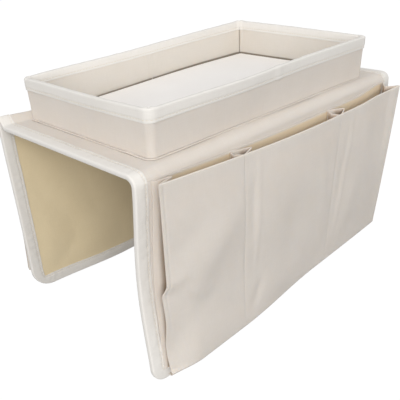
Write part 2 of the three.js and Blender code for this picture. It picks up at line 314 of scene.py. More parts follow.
@dataclass(frozen=True)
class ClothFinish:
    """A matte woven cloth: yarns, slubs and a slight cloudiness, darkened towards a painted shade colour
    where a piece's painted-shade map is high.
    """

    name: str
    colour: tuple[float, float, float]
    shade: tuple[float, float, float]
    # The next colour is painted shade, mixed in where a piece's painted-shade map is high.
    painted_shade: tuple[float, float, float]
    pitch: float
    depth: float
    roughness: float
    sheen: float
    glow: float
    weave: Weave = Weave.PLAIN

    GLOW_REACH = 3.0 * MM
    GLOW_TINT = (1.0, 0.8, 0.6)
    SLUB_ACROSS = 0.8
    SLUB_ALONG = 0.04
    SLUB_ROUGHNESS = 0.12
    CLOUDS = 22.0
    TWILL_DIP = 0.4

    def material(self) -> bpy.types.Material:
        """The cloth's material, on its own map in metres.

        Returns:
            The material.
        """
        desk = Desk(self.name)
        across, along = desk.cloth_place()
        warp = across / self.pitch
        weft = along / self.pitch
        if self.weave is Weave.PLAIN:
            yarns = (warp * math.pi).sine() * (weft * math.pi).sine()
        else:
            yarns = ((warp + weft) * math.pi).sine() * (1 - (warp * math.pi).sine().size() * self.TWILL_DIP)
        slubs = desk.noise(desk.vector(warp * self.SLUB_ACROSS, weft * self.SLUB_ALONG), 1.0) * 0.5
        slubs = slubs + desk.noise(desk.vector(warp * self.SLUB_ALONG, weft * self.SLUB_ACROSS), 1.0) * 0.5
        clouds = desk.noise(desk.object_place(), self.CLOUDS, 3.0)
        tone = slubs * 1.1 + clouds * 0.7 - 0.4
        height = yarns * 0.35 + slubs * 1.3
        # Base colour darkened towards the painted shade colour by the piece's painted-shade map.
        colour = desk.mix(desk.painted_shade_share(), desk.mix(tone, self.shade, self.colour), self.painted_shade)
        return desk.surface(desk.node("ShaderNodeBsdfPrincipled", {}, {
            "Base Color": colour,
            "Roughness": slubs * self.SLUB_ROUGHNESS + (self.roughness - self.SLUB_ROUGHNESS / 2),
            "Normal": desk.bump(height, self.depth, 0.6),
            "Specular IOR Level": 0.25,
            "Sheen Weight": self.sheen,
            "Sheen Roughness": 0.6,
            "Subsurface Weight": self.glow,
            "Subsurface Radius": self.GLOW_TINT,
            "Subsurface Scale": self.GLOW_REACH,
        }))


@dataclass(frozen=True)
class BoardFinish:
    """Grey board pressed from paper fibres."""

    name: str
    colour: tuple[float, float, float]
    fleck: tuple[float, float, float]

    FIBRES = 900.0
    CLOUDS = 60.0

    def material(self) -> bpy.types.Material:
        """The board's material, on object coordinates.

        Returns:
            The material.
        """
        desk = Desk(self.name)
        place = desk.object_place()
        fibres = desk.noise(place, self.FIBRES, 3.0)
        clouds = desk.noise(place, self.CLOUDS, 2.0)
        return desk.surface(desk.node("ShaderNodeBsdfPrincipled", {}, {
            "Base Color": desk.mix(fibres * 0.6 + clouds * 0.4, self.fleck, self.colour),
            "Roughness": fibres * 0.15 + 0.8,
            "Normal": desk.bump(fibres, 0.1 * MM, 0.5),
        }))


@dataclass(frozen=True)
class ThreadFinish:
    """Spun sewing thread with a faint gloss."""

    name: str
    colour: tuple[float, float, float]
    shade: tuple[float, float, float]

    PLIES = 2600.0

    def material(self) -> bpy.types.Material:
        """The thread's material, on object coordinates.

        Returns:
            The material.
        """
        desk = Desk(self.name)
        plies = desk.noise(desk.object_place(), self.PLIES, 1.0)
        return desk.surface(desk.node("ShaderNodeBsdfPrincipled", {}, {
            "Base Color": desk.mix(plies, self.shade, self.colour),
            "Roughness": plies * 0.2 + 0.5,
            "Normal": desk.bump(plies, 0.05 * MM, 0.5),
        }))


@dataclass(frozen=True)
class FloorFinish:
    """The pale studio floor, mostly white to the camera, with the object's shadow kept."""

    name: str
    colour: tuple[float, float, float]
    whitening: float
    brightness: float

    def material(self) -> bpy.types.Material:
        """The floor's material.

        Returns:
            The material.
        """
        desk = Desk(self.name)
        path = desk.tree.nodes.new("ShaderNodeLightPath")
        seen = sum((Wire(desk, path.outputs[kind]) for kind in ("Is Glossy Ray", "Is Transmission Ray")),
                   Wire(desk, path.outputs["Is Camera Ray"]))
        matte = desk.node("ShaderNodeBsdfDiffuse", {}, {"Color": (*self.colour, 1.0)})
        white = desk.node("ShaderNodeEmission", {}, {"Strength": self.brightness})
        share = seen * self.whitening
        return desk.surface(desk.node("ShaderNodeMixShader", {}, {0: share, 1: matte, 2: white}))


@dataclass(frozen=True)
class Finishes:
    """Every material of the object, made once."""

    # cover paints shade into the gussets' grooves, inside paints warm shade on the back sheet below its hem,
    # and tray is the cream painted lighter as painted light, with painted shade in its corners.
    cover: bpy.types.Material
    inside: bpy.types.Material
    tray: bpy.types.Material
    lining: bpy.types.Material
    binding: bpy.types.Material
    floor: bpy.types.Material
    board: bpy.types.Material
    thread: bpy.types.Material

    @classmethod
    def make(cls) -> "Finishes":
        """Makes the materials in the photographed colours.

        Returns:
            The finishes.
        """
        # The cream cloth's painted shade colour is the dark brown painted into the gussets' grooves behind
        # the faces' edges.
        cream = ClothFinish(
            name="Cream cover cloth", colour=linear(222, 212, 202), shade=linear(211, 200, 189),
            painted_shade=linear(126, 100, 70), pitch=0.5 * MM, depth=0.12 * MM, roughness=0.9, sheen=0.12,
            glow=0.35)
        # The pocket cloth is the same cream, with a warm tan painted shade for the back sheet below its hem.
        pocket = replace(cream, name="Cream pocket cloth", painted_shade=linear(229, 206, 174))
        # The tray lining is the same cream cloth painted lighter, as painted light, with a dark brown painted
        # shade for its inner corners and the gap round the floor.
        tray = replace(cream, name="Cream tray lining cloth", colour=linear(226, 217, 206),
                       shade=linear(215, 205, 193), painted_shade=linear(112, 100, 82))
        khaki = ClothFinish(
            name="Khaki lining cloth", colour=linear(231, 215, 181), shade=linear(219, 201, 164),
            painted_shade=linear(160, 140, 100), pitch=0.45 * MM, depth=0.1 * MM, roughness=0.88, sheen=0.1,
            glow=0.0)
        tape = ClothFinish(
            name="White binding tape", colour=linear(231, 227, 222), shade=linear(220, 216, 209),
            painted_shade=linear(150, 140, 125), pitch=0.6 * MM, depth=0.16 * MM, roughness=0.85, sheen=0.15,
            glow=0.0, weave=Weave.TWILL)
        pale = replace(cream, name="Pale floor cloth", colour=linear(250, 247, 244),
                       shade=linear(242, 238, 234), painted_shade=linear(160, 150, 140), depth=0.1 * MM, glow=0.0)
        board = BoardFinish("Grey board", linear(176, 168, 156), linear(150, 142, 130))
        thread = ThreadFinish("Sewing thread", linear(232, 225, 212), linear(208, 199, 184))
        made = (cream, pocket, tray, khaki, tape, pale, board, thread)
        return cls(*(finish.material() for finish in made))


# Cloth as grids of points


def smooth(value: np.ndarray, low: float, high: float) -> np.ndarray:
    """Smooth step from 0 at low to 1 at high."""
    share = np.clip((value - low) / (high - low), 0.0, 1.0)
    return share * share * (3 - 2 * share)


def hump(offset: np.ndarray, spread: float) -> np.ndarray:
    """1 at the middle of a smooth hump, nearly 0 from two spreads away."""
    return np.exp(-((offset / spread) ** 2))


def lumps(across: np.ndarray, along: np.ndarray, wave: float, seed: int) -> np.ndarray:
    """Soft unevenness of sewn cloth.

    Args:
        across: places across the cloth, in metres.
        along: places along the cloth, in metres.
        wave: usual distance between two rises.
        seed: fixes the pattern.

    Returns:
        Heights of about -1 to 1.
    """
    waves, shortest, longest = 7, 0.6, 1.7
    chance = np.random.default_rng(seed)
    total = np.zeros(np.broadcast(across, along).shape)
    for _ in range(waves):
        heading, phase = chance.uniform(0, math.tau, 2)
        rate = math.tau / (wave * chance.uniform(shortest, longest))
        total = total + np.sin((across * math.cos(heading) + along * math.sin(heading)) * rate + phase)
    return total / math.sqrt(waves * 2)


@dataclass(frozen=True)
class Crease:
    """A soft fold in a cloth, along a straight line, in metres."""

    start: tuple[float, float]
    end: tuple[float, float]
    width: float
    height: float

    def rise(self, across: np.ndarray, along: np.ndarray) -> np.ndarray:
        """Height of the fold.

        Args:
            across: places across the cloth.
            along: places along the cloth.

        Returns:
            The height at each place.
        """
        start, end = np.array(self.start), np.array(self.end)
        run = end - start
        offset = np.stack(np.broadcast_arrays(across - start[0], along - start[1]), -1)
        share = np.clip(offset @ run / (run @ run), 0.0, 1.0)
        distance = np.linalg.norm(offset - share[..., None] * run, axis=-1)
        fade = 0.25 + 0.75 * np.sin(np.pi * share) ** 0.5
        return self.height * fade * hump(distance, self.width)


def grid_normals(points: np.ndarray, closed: bool) -> np.ndarray:
    """Outward normals of a grid, rows by columns.

    Args:
        points: the grid, whose rows crossed with its columns point outwards.
        closed: whether the last column is the first one again.

    Returns:
        Unit normals of the same shape.
    """
    down = np.gradient(points, axis=0)
    if closed:
        ring = points[:, :-1]
        across = np.roll(ring, -1, 1) - np.roll(ring, 1, 1)
        across = np.concatenate([across, across[:, :1]], 1)
    else:
        across = np.gradient(points, axis=1)
    normal = np.cross(down, across)
    return normal / np.maximum(np.linalg.norm(normal, axis=2, keepdims=True), SAME_POINT**2)


def quads(index: np.ndarray) -> np.ndarray:
    """Four-sided faces between the rows and columns of an index grid."""
    corners = (index[:-1, :-1], index[1:, :-1], index[1:, 1:], index[:-1, 1:])
    return np.stack([corner.ravel() for corner in corners], 1)


def in_scene(name: str, data: bpy.types.ID) -> bpy.types.Object:
    """Puts a mesh, lamp or camera into the scene.

    Args:
        name: the object's name.
        data: what it holds.

    Returns:
        The object.
    """
    made = bpy.data.objects.new(name, data)
    bpy.context.scene.collection.objects.link(made)
    return made


def mesh_object(name: str, places: np.ndarray, faces: list, cloth_map: np.ndarray,
                depth: np.ndarray | None = None) -> bpy.types.Object:
    """Makes a smooth mesh object with a cloth map.

    Args:
        name: the piece's name.
        places: its vertices.
        faces: its faces, by vertex.
        cloth_map: place on the flat cloth of each vertex, in metres.
        depth: share of painted shade at each vertex, from 0 to 1, set larger in folds and gaps.

    Returns:
        The object, in the scene.
    """
    mesh = bpy.data.meshes.new(name)
    mesh.from_pydata(places.tolist(), [], faces)
    layer = mesh.uv_layers.new(name=CLOTH_MAP)
    corners = np.empty(len(mesh.loops), np.int32)
    mesh.loops.foreach_get("vertex_index", corners)
    layer.data.foreach_set("uv", cloth_map[corners].astype(np.float32).ravel())
    # Painted shade of each vertex, stored for the material.
    painted_shade_mask = mesh.attributes.new(PAINTED_SHADE_MAP, "FLOAT", "POINT")
    painted_shade_mask.data.foreach_set("value", np.zeros(len(places)) if depth is None else depth)
    work = bmesh.new()
    work.from_mesh(mesh)
    bmesh.ops.remove_doubles(work, verts=work.verts, dist=SAME_POINT)
    work.to_mesh(mesh)
    work.free()
    mesh.polygons.foreach_set("use_smooth", np.ones(len(mesh.polygons), bool))
    mesh.set_sharp_from_angle(angle=SMOOTH_BELOW)
    return in_scene(name, mesh)


def cloth(name: str, points: np.ndarray, thickness: float, closed: bool = False, level: bool = False,
          depth: np.ndarray | float = 0.0) -> bpy.types.Object:
    """Makes a sheet of cloth with its thickness.

    Args:
        name: the piece's name.
        points: its outer face as a grid, rows by columns.
        thickness: cloth behind that face.
        closed: whether the columns run round to the first one again.
        level: whether the first row is filled in and the cloth map is the plan view.
        depth: share of painted shade at each place, from 0 to 1, set larger in folds and gaps.

    Returns:
        The object, a thin closed solid.
    """
    rows, columns = points.shape[:2]
    inner = points - grid_normals(points, closed) * thickness
    front = np.arange(rows * columns).reshape(rows, columns)
    back = front + rows * columns
    rims = [(front[-1, ::-1], back[-1, ::-1])] + ([] if level else [(front[0], back[0])])
    if not closed:
        rims += [(front[::-1, 0], back[::-1, 0]), (front[:, -1], back[:, -1])]
    strips = [np.stack([a[:-1], a[1:], b[1:], b[:-1]], 1) for a, b in rims]
    faces = np.concatenate([quads(front), quads(back)[:, ::-1], *strips]).tolist()
    steps_down = np.linalg.norm(np.diff(points, axis=0, prepend=points[:1]), axis=2).mean(1)
    steps_across = np.linalg.norm(np.diff(points, axis=1, prepend=points[:, :1]), axis=2).max(0)
    flat = np.stack(np.meshgrid(np.cumsum(steps_across), np.cumsum(steps_down)), -1).reshape(-1, 2)
    if level:
        flat = points[..., :2].reshape(-1, 2)
        faces += [front[0, :-1].tolist(), back[0, -2::-1].tolist()]
    places = np.concatenate([points.reshape(-1, 3), inner.reshape(-1, 3)])
    painted_shade = np.tile(np.broadcast_to(depth, (rows, columns)).ravel(), 2)
    return mesh_object(name, places, faces, np.concatenate([flat, flat]), painted_shade)


def board_face(low: Vector, high: Vector, outwards: bool = True) -> tuple[np.ndarray, float]:
    """The outer face of a thin board that lies level or stands along an axis.

    Args:
        low: the board's low corner.
        high: its high corner.
        outwards: whether that face looks along the positive axis.

    Returns:
        The face as a grid, and the board's thickness.
    """
    size = high - low
    thin = min(range(3), key=lambda axis: size[axis])
    down, across = (1 if thin == 2 else 2), (1 if thin == 0 else 0)
    rows = steps(high[down], low[down], COARSE)
    columns = steps(low[across], high[across], COARSE)
    if (thin == 1) == outwards:
        columns = columns[::-1]
    points = np.empty((len(rows), len(columns), 3))
    points[..., down] = rows[:, None]
    points[..., across] = columns[None, :]
    points[..., thin] = high[thin] if outwards else low[thin]
    return points, size[thin]


def steps(low: float, high: float, step: float) -> np.ndarray:
    """Even places from low to high, both ends in it, about one step apart."""
    return np.linspace(low, high, max(2, round(abs(high - low) / step) + 1))


def joined(*runs: np.ndarray) -> np.ndarray:
    """Runs of places end to end, with the meeting points once."""
    places = np.concatenate(runs)
    return places[np.concatenate([[True], np.abs(np.diff(places)) > SAME_POINT])]


def square_nose(depth: float, half: float) -> tuple[np.ndarray, np.ndarray]:
    """Section of a tape where it goes over an edge, squarer than a half circle.

    Args:
        depth: how far in the turn reaches.
        half: half of the thickness that it goes over.

    Returns:
        Distances in from the edge, and across the thickness from its middle, from -half to half.
    """
    squareness = 0.6
    angle = np.linspace(-QUARTER, QUARTER, 13)[1:-1]
    inward = depth * (1 - np.cos(angle) ** squareness)
    return inward, half * np.sign(angle) * np.abs(np.sin(angle)) ** squareness


def seam_dip(places: np.ndarray, sewn: float) -> np.ndarray:
    """How far a tape is drawn in beside its seam."""
    return SEAM_DRAW * hump(places - sewn, SEAM_SPREAD)


def finish_piece(piece: bpy.types.Object, material: bpy.types.Material, slot: Slot,
                 *nodes: str) -> bpy.types.Object:
    """Gives a piece its material and hides the nodes that it stands for.

    Args:
        piece: the piece.
        material: its finish.
        slot: the record's slot for it; not used.
        nodes: names of the nodes that it replaces.

    Returns:
        The piece.
    """
    if not piece.data.materials:
        piece.data.materials.append(material)
    if nodes:
        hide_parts(*nodes)
    log.info("%s: %d faces", piece.name, len(piece.data.polygons))
    return piece


# Stitches


@dataclass(frozen=True)
class StitchRow:
    """A row of lock stitches along a seam line."""

    pitch: float = 3.4 * MM
    length: float = 2.6 * MM
    thickness: float = 0.6 * MM

    SIDES = 6
    RINGS = 4

    def tree(self) -> bpy.types.NodeTree:
        """The node tree that lays one stitch at each pitch of a line.

        Returns:
            The tree.
        """
        tree = bpy.data.node_groups.new("Stitch row", "GeometryNodeTree")
        tree.interface.new_socket("Line", in_out="INPUT", socket_type="NodeSocketGeometry")
        for name in ("Pitch", "Length", "Thickness"):
            tree.interface.new_socket(name, in_out="INPUT", socket_type="NodeSocketFloat")
        tree.interface.new_socket("Thread", in_out="INPUT", socket_type="NodeSocketMaterial")
        tree.interface.new_socket("Stitches", in_out="OUTPUT", socket_type="NodeSocketGeometry")

        node = partial(add_node, tree)
        given = node("NodeGroupInput").outputs
        line = node("GeometryNodeMeshToCurve", None, {"Mesh": given["Line"]}).outputs["Curve"]
        marks = node("GeometryNodeCurveToPoints", {"mode": "LENGTH"},
                     {"Curve": line, "Length": given["Pitch"]})
        turned = node("FunctionNodeAlignRotationToVector", {"axis": "Z"},
                      {"Vector": marks.outputs["Tangent"]})
        bead = node("GeometryNodeMeshUVSphere", None,
                    {"Segments": self.SIDES, "Rings": self.RINGS, "Radius": 0.5})
        shape = node("ShaderNodeCombineXYZ", None,
                     {"X": given["Thickness"], "Y": given["Thickness"], "Z": given["Length"]})
        laid = node("GeometryNodeInstanceOnPoints", None, {
            "Points": marks.outputs["Points"], "Instance": bead.outputs["Mesh"],
            "Rotation": turned.outputs["Rotation"], "Scale": shape.outputs["Vector"]})
        real = node("GeometryNodeRealizeInstances", None, {"Geometry": laid.outputs["Instances"]})
        dyed = node("GeometryNodeSetMaterial", None,
                    {"Geometry": real.outputs["Geometry"], "Material": given["Thread"]})
        node("NodeGroupOutput", None, {"Stitches": dyed.outputs["Geometry"]})
        return tree

    def sew(self, name: str, lines: list[np.ndarray], thread: bpy.types.Material) -> bpy.types.Object:
        """Sews stitches along lines.

        Args:
            name: the piece's name.
            lines: points of each line, in metres.
            thread: the thread's material.

        Returns:
            The stitches as one plain mesh.
        """
        places = np.concatenate(lines)
        starts = np.cumsum([0] + [len(line) for line in lines[:-1]])
        edges = [(int(s) + i, int(s) + i + 1) for s, line in zip(starts, lines) for i in range(len(line) - 1)]
        guide = bpy.data.meshes.new(name)
        guide.from_pydata(places.tolist(), edges, [])
        holder = in_scene(name + "_guide", guide)
        tree = self.tree()
        sewing = holder.modifiers.new("Stitches", "NODES")
        sewing.node_group = tree
        values = {"Pitch": self.pitch, "Length": self.length, "Thickness": self.thickness, "Thread": thread}
        for item in tree.interface.items_tree:
            if item.name in values:
                sewing[item.identifier] = values[item.name]
        graph = bpy.context.evaluated_depsgraph_get()
        mesh = bpy.data.meshes.new_from_object(holder.evaluated_get(graph))
        mesh.polygons.foreach_set("use_smooth", np.ones(len(mesh.polygons), bool))
        bpy.data.objects.remove(holder)
        return in_scene(name, mesh)


# Saddle


@dataclass(frozen=True)
class Warp:
    """How a flap's board has warped, in metres at the ends of the flap."""

    near_bow: float
    near_foot: float
    far_foot: float
    far_rise: float
    ridge: float
    near_flare: float
    corner: float

    BOW_POWER = 1.4
    RIDGE_FADE = 0.35
    RIDGE_LEFT = 0.1
    RIDGE_RUN = (-3 * MM, 7 * MM)

    def bow(self, far: np.ndarray, drop: np.ndarray) -> np.ndarray:
        """How far the near edge bows inwards, for the arguments of outward."""
        return self.near_bow * np.sin(np.pi * drop) ** self.BOW_POWER * (1 - far) ** 2

    def outward(self, far: np.ndarray, drop: np.ndarray) -> np.ndarray:
        """How far the flap moves outwards.

        Args:
            far: 0 at the near end to 1 at the far end.
            drop: 0 at the fold to 1 at the flap's foot.

        Returns:
            The move, in metres.
        """
        foot = drop**2 * (self.near_foot * (1 - far) ** 2 + self.far_foot * far**2)
        return foot - self.bow(far, drop)

    def upward(self, far: np.ndarray, drop: np.ndarray) -> np.ndarray:
        """How far the far end is drawn up, for the same arguments."""
        return self.far_rise * drop * far**2

    def nearward(self, far: np.ndarray, drop: np.ndarray) -> np.ndarray:
        """How far the near foot flares past the flap's end, for the same arguments."""
        return self.near_flare * drop**3 * (1 - far) ** 6

    def ridge_lift(self, far: np.ndarray, past_fold: np.ndarray) -> np.ndarray:
        """How high the near end stands up, by the distance over the cover past the start of the fold."""
        along = 1 - (1 - self.RIDGE_LEFT) * smooth(far, 0.0, self.RIDGE_FADE)
        return self.ridge * along * smooth(past_fold, *self.RIDGE_RUN)


FAR_TOP = -1.5 * MM
WARPS = {
    Side.FRONT: Warp(near_bow=7.6 * MM, near_foot=0.8 * MM, far_foot=-3.0 * MM, far_rise=5.0 * MM,
                     ridge=0.0, near_flare=2.8 * MM, corner=14.5 * MM),
    Side.REAR: Warp(near_bow=1.5 * MM, near_foot=-4.0 * MM, far_foot=-1.0 * MM, far_rise=0.5 * MM,
                    ridge=9.5 * MM, near_flare=0.0, corner=22 * MM),
}


@dataclass(frozen=True)
class Saddle:
    """The top panel and both flaps, as one cloth sandwich that runs over two soft folds."""

    half_length: float
    fold_y: float
    fold_z: float
    radius: float
    fabric: float
    board_face: float
    board: float
    lining_face: float
    tape_proud: float
    tape_reach: float
    tape: float = 0.6 * MM
    press: float = 0.2 * MM
    nose: float = 2.0 * MM
    edge_margin: float = 0.9 * MM

    BEND_MARGIN = 3 * MM
    BEND_STEP = 1.2 * MM
    EDGE_STEP = 2 * MM
    LEAST_CORNER = 1 * MM
    COLUMNS = 121
    LIFT_FADE = (0.25, 0.8)
    STEADY, FREE = 9 * MM, 30 * MM
    COVER_RELIEF, COVER_WAVE = 0.35 * MM, 90 * MM
    LINING_RELIEF, LINING_WAVE = 1.3 * MM, 80 * MM
    CRINKLE, CRINKLE_WAVE = 0.25 * MM, 22 * MM
    CRINKLE_BEFORE, CRINKLE_AFTER = 6 * MM, 8 * MM
    PUCKER, PUCKER_WAVE = 0.24 * MM, 6 * MM
    DRIFT, DRIFT_WAVE = 0.03, 30 * MM
    TAPE_ENDS = 12 * MM
    TURN_SHORT, TURN_LONG = 2.5 * MM, 12.5 * MM

    @classmethod
    def from_frame(cls) -> "Saddle":
        """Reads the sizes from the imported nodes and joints.

        Returns:
            The saddle.
        """
        fold = next(joint for joint in frame["joints"] if joint["name"] == "front_flap_fold")
        cover_low, cover_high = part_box("top_cover")
        lining_low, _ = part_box("top_lining")
        tape_low, tape_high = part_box("top_tape_left")
        board_low, board_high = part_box("top_board")
        _, fold_y, fold_z = fold["pos_m"]
        return cls(
            half_length=-tape_low.x,
            fold_y=-fold_y,
            fold_z=fold_z,
            radius=cover_high.z - fold_z,
            fabric=cover_high.z - cover_low.z,
            board_face=board_high.z - cover_high.z,
            board=board_high.z - board_low.z,
            lining_face=lining_low.z - cover_high.z,
            tape_proud=tape_high.z - cover_high.z,
            tape_reach=tape_high.x - tape_low.x,
        )

    @property
    def sewn(self) -> float:
        """How far in from the bound edge the binding is sewn."""
        return self.tape_reach - SEAM_IN

    @property
    def bend(self) -> float:
        """Length of the cover round one fold."""
        return self.radius * QUARTER

    @property
    def run(self) -> float:
        """Length of the cover from the middle of the top to the foot of a flap."""
        return self.fold_y + self.bend + self.fold_z

    @property
    def face(self) -> float:
        """How far a flap's cover stands from the middle."""
        return self.fold_y + self.radius

    def warped(self, side: Side, points: np.ndarray) -> np.ndarray:
        """Points on or beside a straight flap, moved with its warp.

        Args:
            side: which flap.
            points: places laid out for the front, with outwards along -Y.

        Returns:
            The places in the frame.
        """
        x, y, z = np.moveaxis(points, -1, 0)
        far, drop = self.reach(side, x, z)
        warp = WARPS[side]
        flared = x + side.near * warp.nearward(far, drop)
        moved = np.stack([flared, y - warp.outward(far, drop), z + warp.upward(far, drop)], -1)
        return side.turn(moved)

    def raised(self, points: np.ndarray) -> np.ndarray:
        """Points on the level top, moved with its far end."""
        far = np.clip((1 + points[..., 0] / self.half_length) / 2, 0.0, 1.0)
        return points + np.stack([0 * far, 0 * far, FAR_TOP * far**2], -1)

    def reach(self, side: Side, x: np.ndarray, z: np.ndarray) -> tuple[np.ndarray, np.ndarray]:
        """Shares of the way from the near to the far end, and from the fold to the foot."""
        far = np.clip((1 - side.near * x / self.half_length) / 2, 0.0, 1.0)
        return far, np.clip((self.fold_z - z) / self.fold_z, 0.0, 1.0)

    def place(self, side: Side, x: np.ndarray, run: np.ndarray, out: np.ndarray | float) -> np.ndarray:
        """Where a point of the cloth sandwich lies.

        Args:
            side: which half of the saddle.
            x: place along the arm.
            run: distance over the cover from the middle of the top.
            out: distance outwards from the cover's face.

        Returns:
            The places in the frame.
        """
        x, run, out = np.broadcast_arrays(x, run, out)
        turn = np.clip((run - self.fold_y) / self.radius, 0.0, QUARTER)
        reach = self.radius + out
        y = np.minimum(run, self.fold_y) + reach * np.sin(turn)
        z = self.fold_z + reach * np.cos(turn) - np.maximum(run - self.fold_y - self.bend, 0.0)
        far, _ = self.reach(side, x, z)
        past_fold = run - self.fold_y
        level = 1 - smooth(past_fold, 0.0, self.bend)
        z = z + WARPS[side].ridge_lift(far, past_fold) + FAR_TOP * far**2 * level
        return self.warped(side, np.stack([x, -y, z], -1))

    def on_flap(self, side: Side, x: np.ndarray, z: np.ndarray, out: np.ndarray | float) -> np.ndarray:
        """Where a point beside a flap lies, by its height and its distance from the cover's face.

        Args:
            side: which flap.
            x: place along the arm.
            z: height before the warp.
            out: distance outwards from the cover's face.

        Returns:
            The places in the frame.
        """
        x, z, out = np.broadcast_arrays(x, z, out)
        far, _ = self.reach(side, x, z)
        low, high = (share * self.fold_z for share in self.LIFT_FADE)
        lifted = z + WARPS[side].ridge_lift(far, self.bend) * (1 - smooth(z, low, high))
        return self.warped(side, np.stack([x, -self.face - out, lifted], -1))

    def panel(self, side: Side, inset: float, start: float = 0.0) -> tuple[np.ndarray, np.ndarray]:
        """A grid over half of the saddle, with round lower corners.

        Args:
            side: which half.
            inset: distance of its edge from the bound edge.
            start: where along the run it begins.

        Returns:
            Places along the arm, and along the run.
        """
        radius = max(WARPS[side].corner - inset, self.LEAST_CORNER)
        low = self.run - inset - radius
        arc = np.linspace(0.0, QUARTER, 12)
        before = max(self.fold_y - self.BEND_MARGIN, start)
        after = self.fold_y + self.bend + self.BEND_MARGIN
        if start < after:
            top = steps(start, before, COARSE) if start < before else np.array([start])
            straight = joined(top, steps(before, after, self.BEND_STEP), steps(after, low, COARSE))
        else:
            straight = steps(start, low, COARSE)
        run = joined(straight, low + radius * np.sin(arc))
        half = np.full(len(run), self.half_length - inset)
        half[-len(arc):] -= radius * (1 - np.cos(arc))
        share = np.linspace(-1.0, 1.0, self.COLUMNS)
        return half[:, None] * share[None, :], np.repeat(run[:, None], len(share), 1)

    def edge(self, side: Side) -> tuple[np.ndarray, np.ndarray]:
        """The bound edge of half of the saddle, from the middle of the top round to it again.

        Args:
            side: which half.

        Returns:
            Places (x, run) along the edge, and the direction from each into the panel.
        """
        corner = WARPS[side].corner
        low = self.run - corner
        before, after = self.fold_y - self.BEND_MARGIN, self.fold_y + self.bend + self.BEND_MARGIN
        side_run = joined(steps(0.0, before, self.EDGE_STEP), steps(before, after, FINE),
                          steps(after, low, self.EDGE_STEP))
        angle = np.linspace(0.0, QUARTER, 16)[1:-1]
        inner = self.half_length - corner
        foot = steps(-inner, inner, self.EDGE_STEP)
        near = np.stack([np.full_like(side_run, -self.half_length), side_run], 1)
        round_near = np.stack([-inner - corner * np.cos(angle), low + corner * np.sin(angle)], 1)
        bottom = np.stack([foot, np.full_like(foot, self.run)], 1)
        mirror = np.array((-1.0, 1.0))
        places = np.concatenate([near, round_near, bottom, round_near[::-1] * mirror, near[::-1] * mirror])
        into = [np.tile((1.0, 0.0), (len(near), 1)), np.stack([np.cos(angle), -np.sin(angle)], 1),
                np.tile((0.0, -1.0), (len(bottom), 1))]
        into = np.concatenate([*into, into[1][::-1] * mirror, into[0] * mirror])
        return places, into

    def mitre(self, side: Side, into: np.ndarray) -> np.ndarray:
        """Share of its width that the binding keeps round a corner, where its inner edges meet in a point."""
        corner = WARPS[side].corner
        return (corner - (corner - self.tape_reach) / np.abs(into).max(1)) / self.tape_reach

    def sheet(self, side: Side, name: str, inset: float, out: float, thickness: float, relief: float,
              wave: float, inwards: bool = False, start: float = 0.0) -> bpy.types.Object:
        """One layer of the sandwich over half of the saddle.

        Args:
            side: which half.
            name: the piece's name.
            inset: its edge's distance from the bound edge.
            out: its visible face's distance from the cover's face.
            thickness: how thick it is.
            relief: height of its unevenness.
            wave: usual distance between two rises.
            inwards: whether its visible face looks inwards.
            start: where along the run it begins.

        Returns:
            The piece.
        """
        x, run = self.panel(side, inset, start)
        seed = len(name) + 7 * list(Side).index(side)
        from_end = self.half_length - np.abs(x)
        calm = smooth(run, start, start + self.FREE) * smooth(from_end, self.STEADY, self.FREE)
        calm = calm * smooth(self.run - run, self.STEADY, self.FREE)
        rise = relief * calm * lumps(x, run, wave, seed)
        bent = smooth(run, self.fold_y - self.CRINKLE_BEFORE, self.fold_y)
        bent = bent * smooth(self.fold_y + self.bend + self.CRINKLE_AFTER - run, 0, self.CRINKLE_AFTER)
        rise = rise + self.CRINKLE * bent * lumps(x, run * 0.2, self.CRINKLE_WAVE, seed + 1)
        if inwards:
            points = self.place(side, x, run, out - np.abs(rise))[:, ::-1]
        else:
            points = self.place(side, x, run, out + rise)
        return cloth(name, points, thickness)

    def tape_section(self) -> tuple[np.ndarray, np.ndarray]:
        """Section of the binding, from its inner leg's edge round to its outer leg's edge.

        Returns:
            Distances in from the bound edge, and outwards from the cover's face.
        """
        outer, inner = self.tape_proud - self.press, self.lining_face - self.tape_proud + self.press
        half = (outer - inner) / 2
        nose_depth, nose_out = square_nose(self.nose, half)
        past_seam = self.sewn - SEAM_BESIDE
        leg = joined(steps(self.tape_reach, past_seam, FINEST), steps(past_seam, self.nose, FINE))
        crown = TAPE_CROWN * np.sin(np.pi * (leg - self.nose) / (self.tape_reach - self.nose))
        tuck = TAPE_CROWN * smooth(leg, self.tape_reach - TAPE_EDGE, self.tape_reach)
        tuck = tuck + seam_dip(leg, self.sewn)
        depth = np.concatenate([leg, nose_depth, leg[::-1]])
        middle = (outer + inner) / 2 + nose_out
        out = np.concatenate([inner - crown + tuck, middle, (outer + crown - tuck)[::-1]])
        return depth, out

    def binding(self, side: Side) -> bpy.types.Object:
        """The white tape folded over the edge of half of the saddle.

        Args:
            side: which half.

        Returns:
            The piece.
        """
        places, into = self.edge(side)
        depth, out = self.tape_section()
        walked = np.concatenate([[0.0], np.cumsum(np.linalg.norm(np.diff(places, axis=0), axis=1))])
        seed = 31 if side is Side.FRONT else 47
        ends = smooth(walked, 0.0, self.TAPE_ENDS) * smooth(walked[-1] - walked, 0.0, self.TAPE_ENDS)
        pucker = lumps(walked[:, None], depth[None, :] * 0.5, self.PUCKER_WAVE, seed) * ends[:, None]
        slack = 1 + self.DRIFT * lumps(walked, 0.0, self.DRIFT_WAVE, seed + 1) * ends
        reach = depth[None, :] * (slack * self.mitre(side, into))[:, None]
        away = np.sign(out[None, :] - out.mean())
        lift = self.PUCKER * pucker * away * smooth(depth, self.nose, 3 * self.nose)[None, :]
        x = places[:, :1] + into[:, :1] * reach
        run = places[:, 1:] + into[:, 1:] * reach
        return cloth(f"{side.value}_panel_binding", self.place(side, x, run, out[None, :] + lift), self.tape)

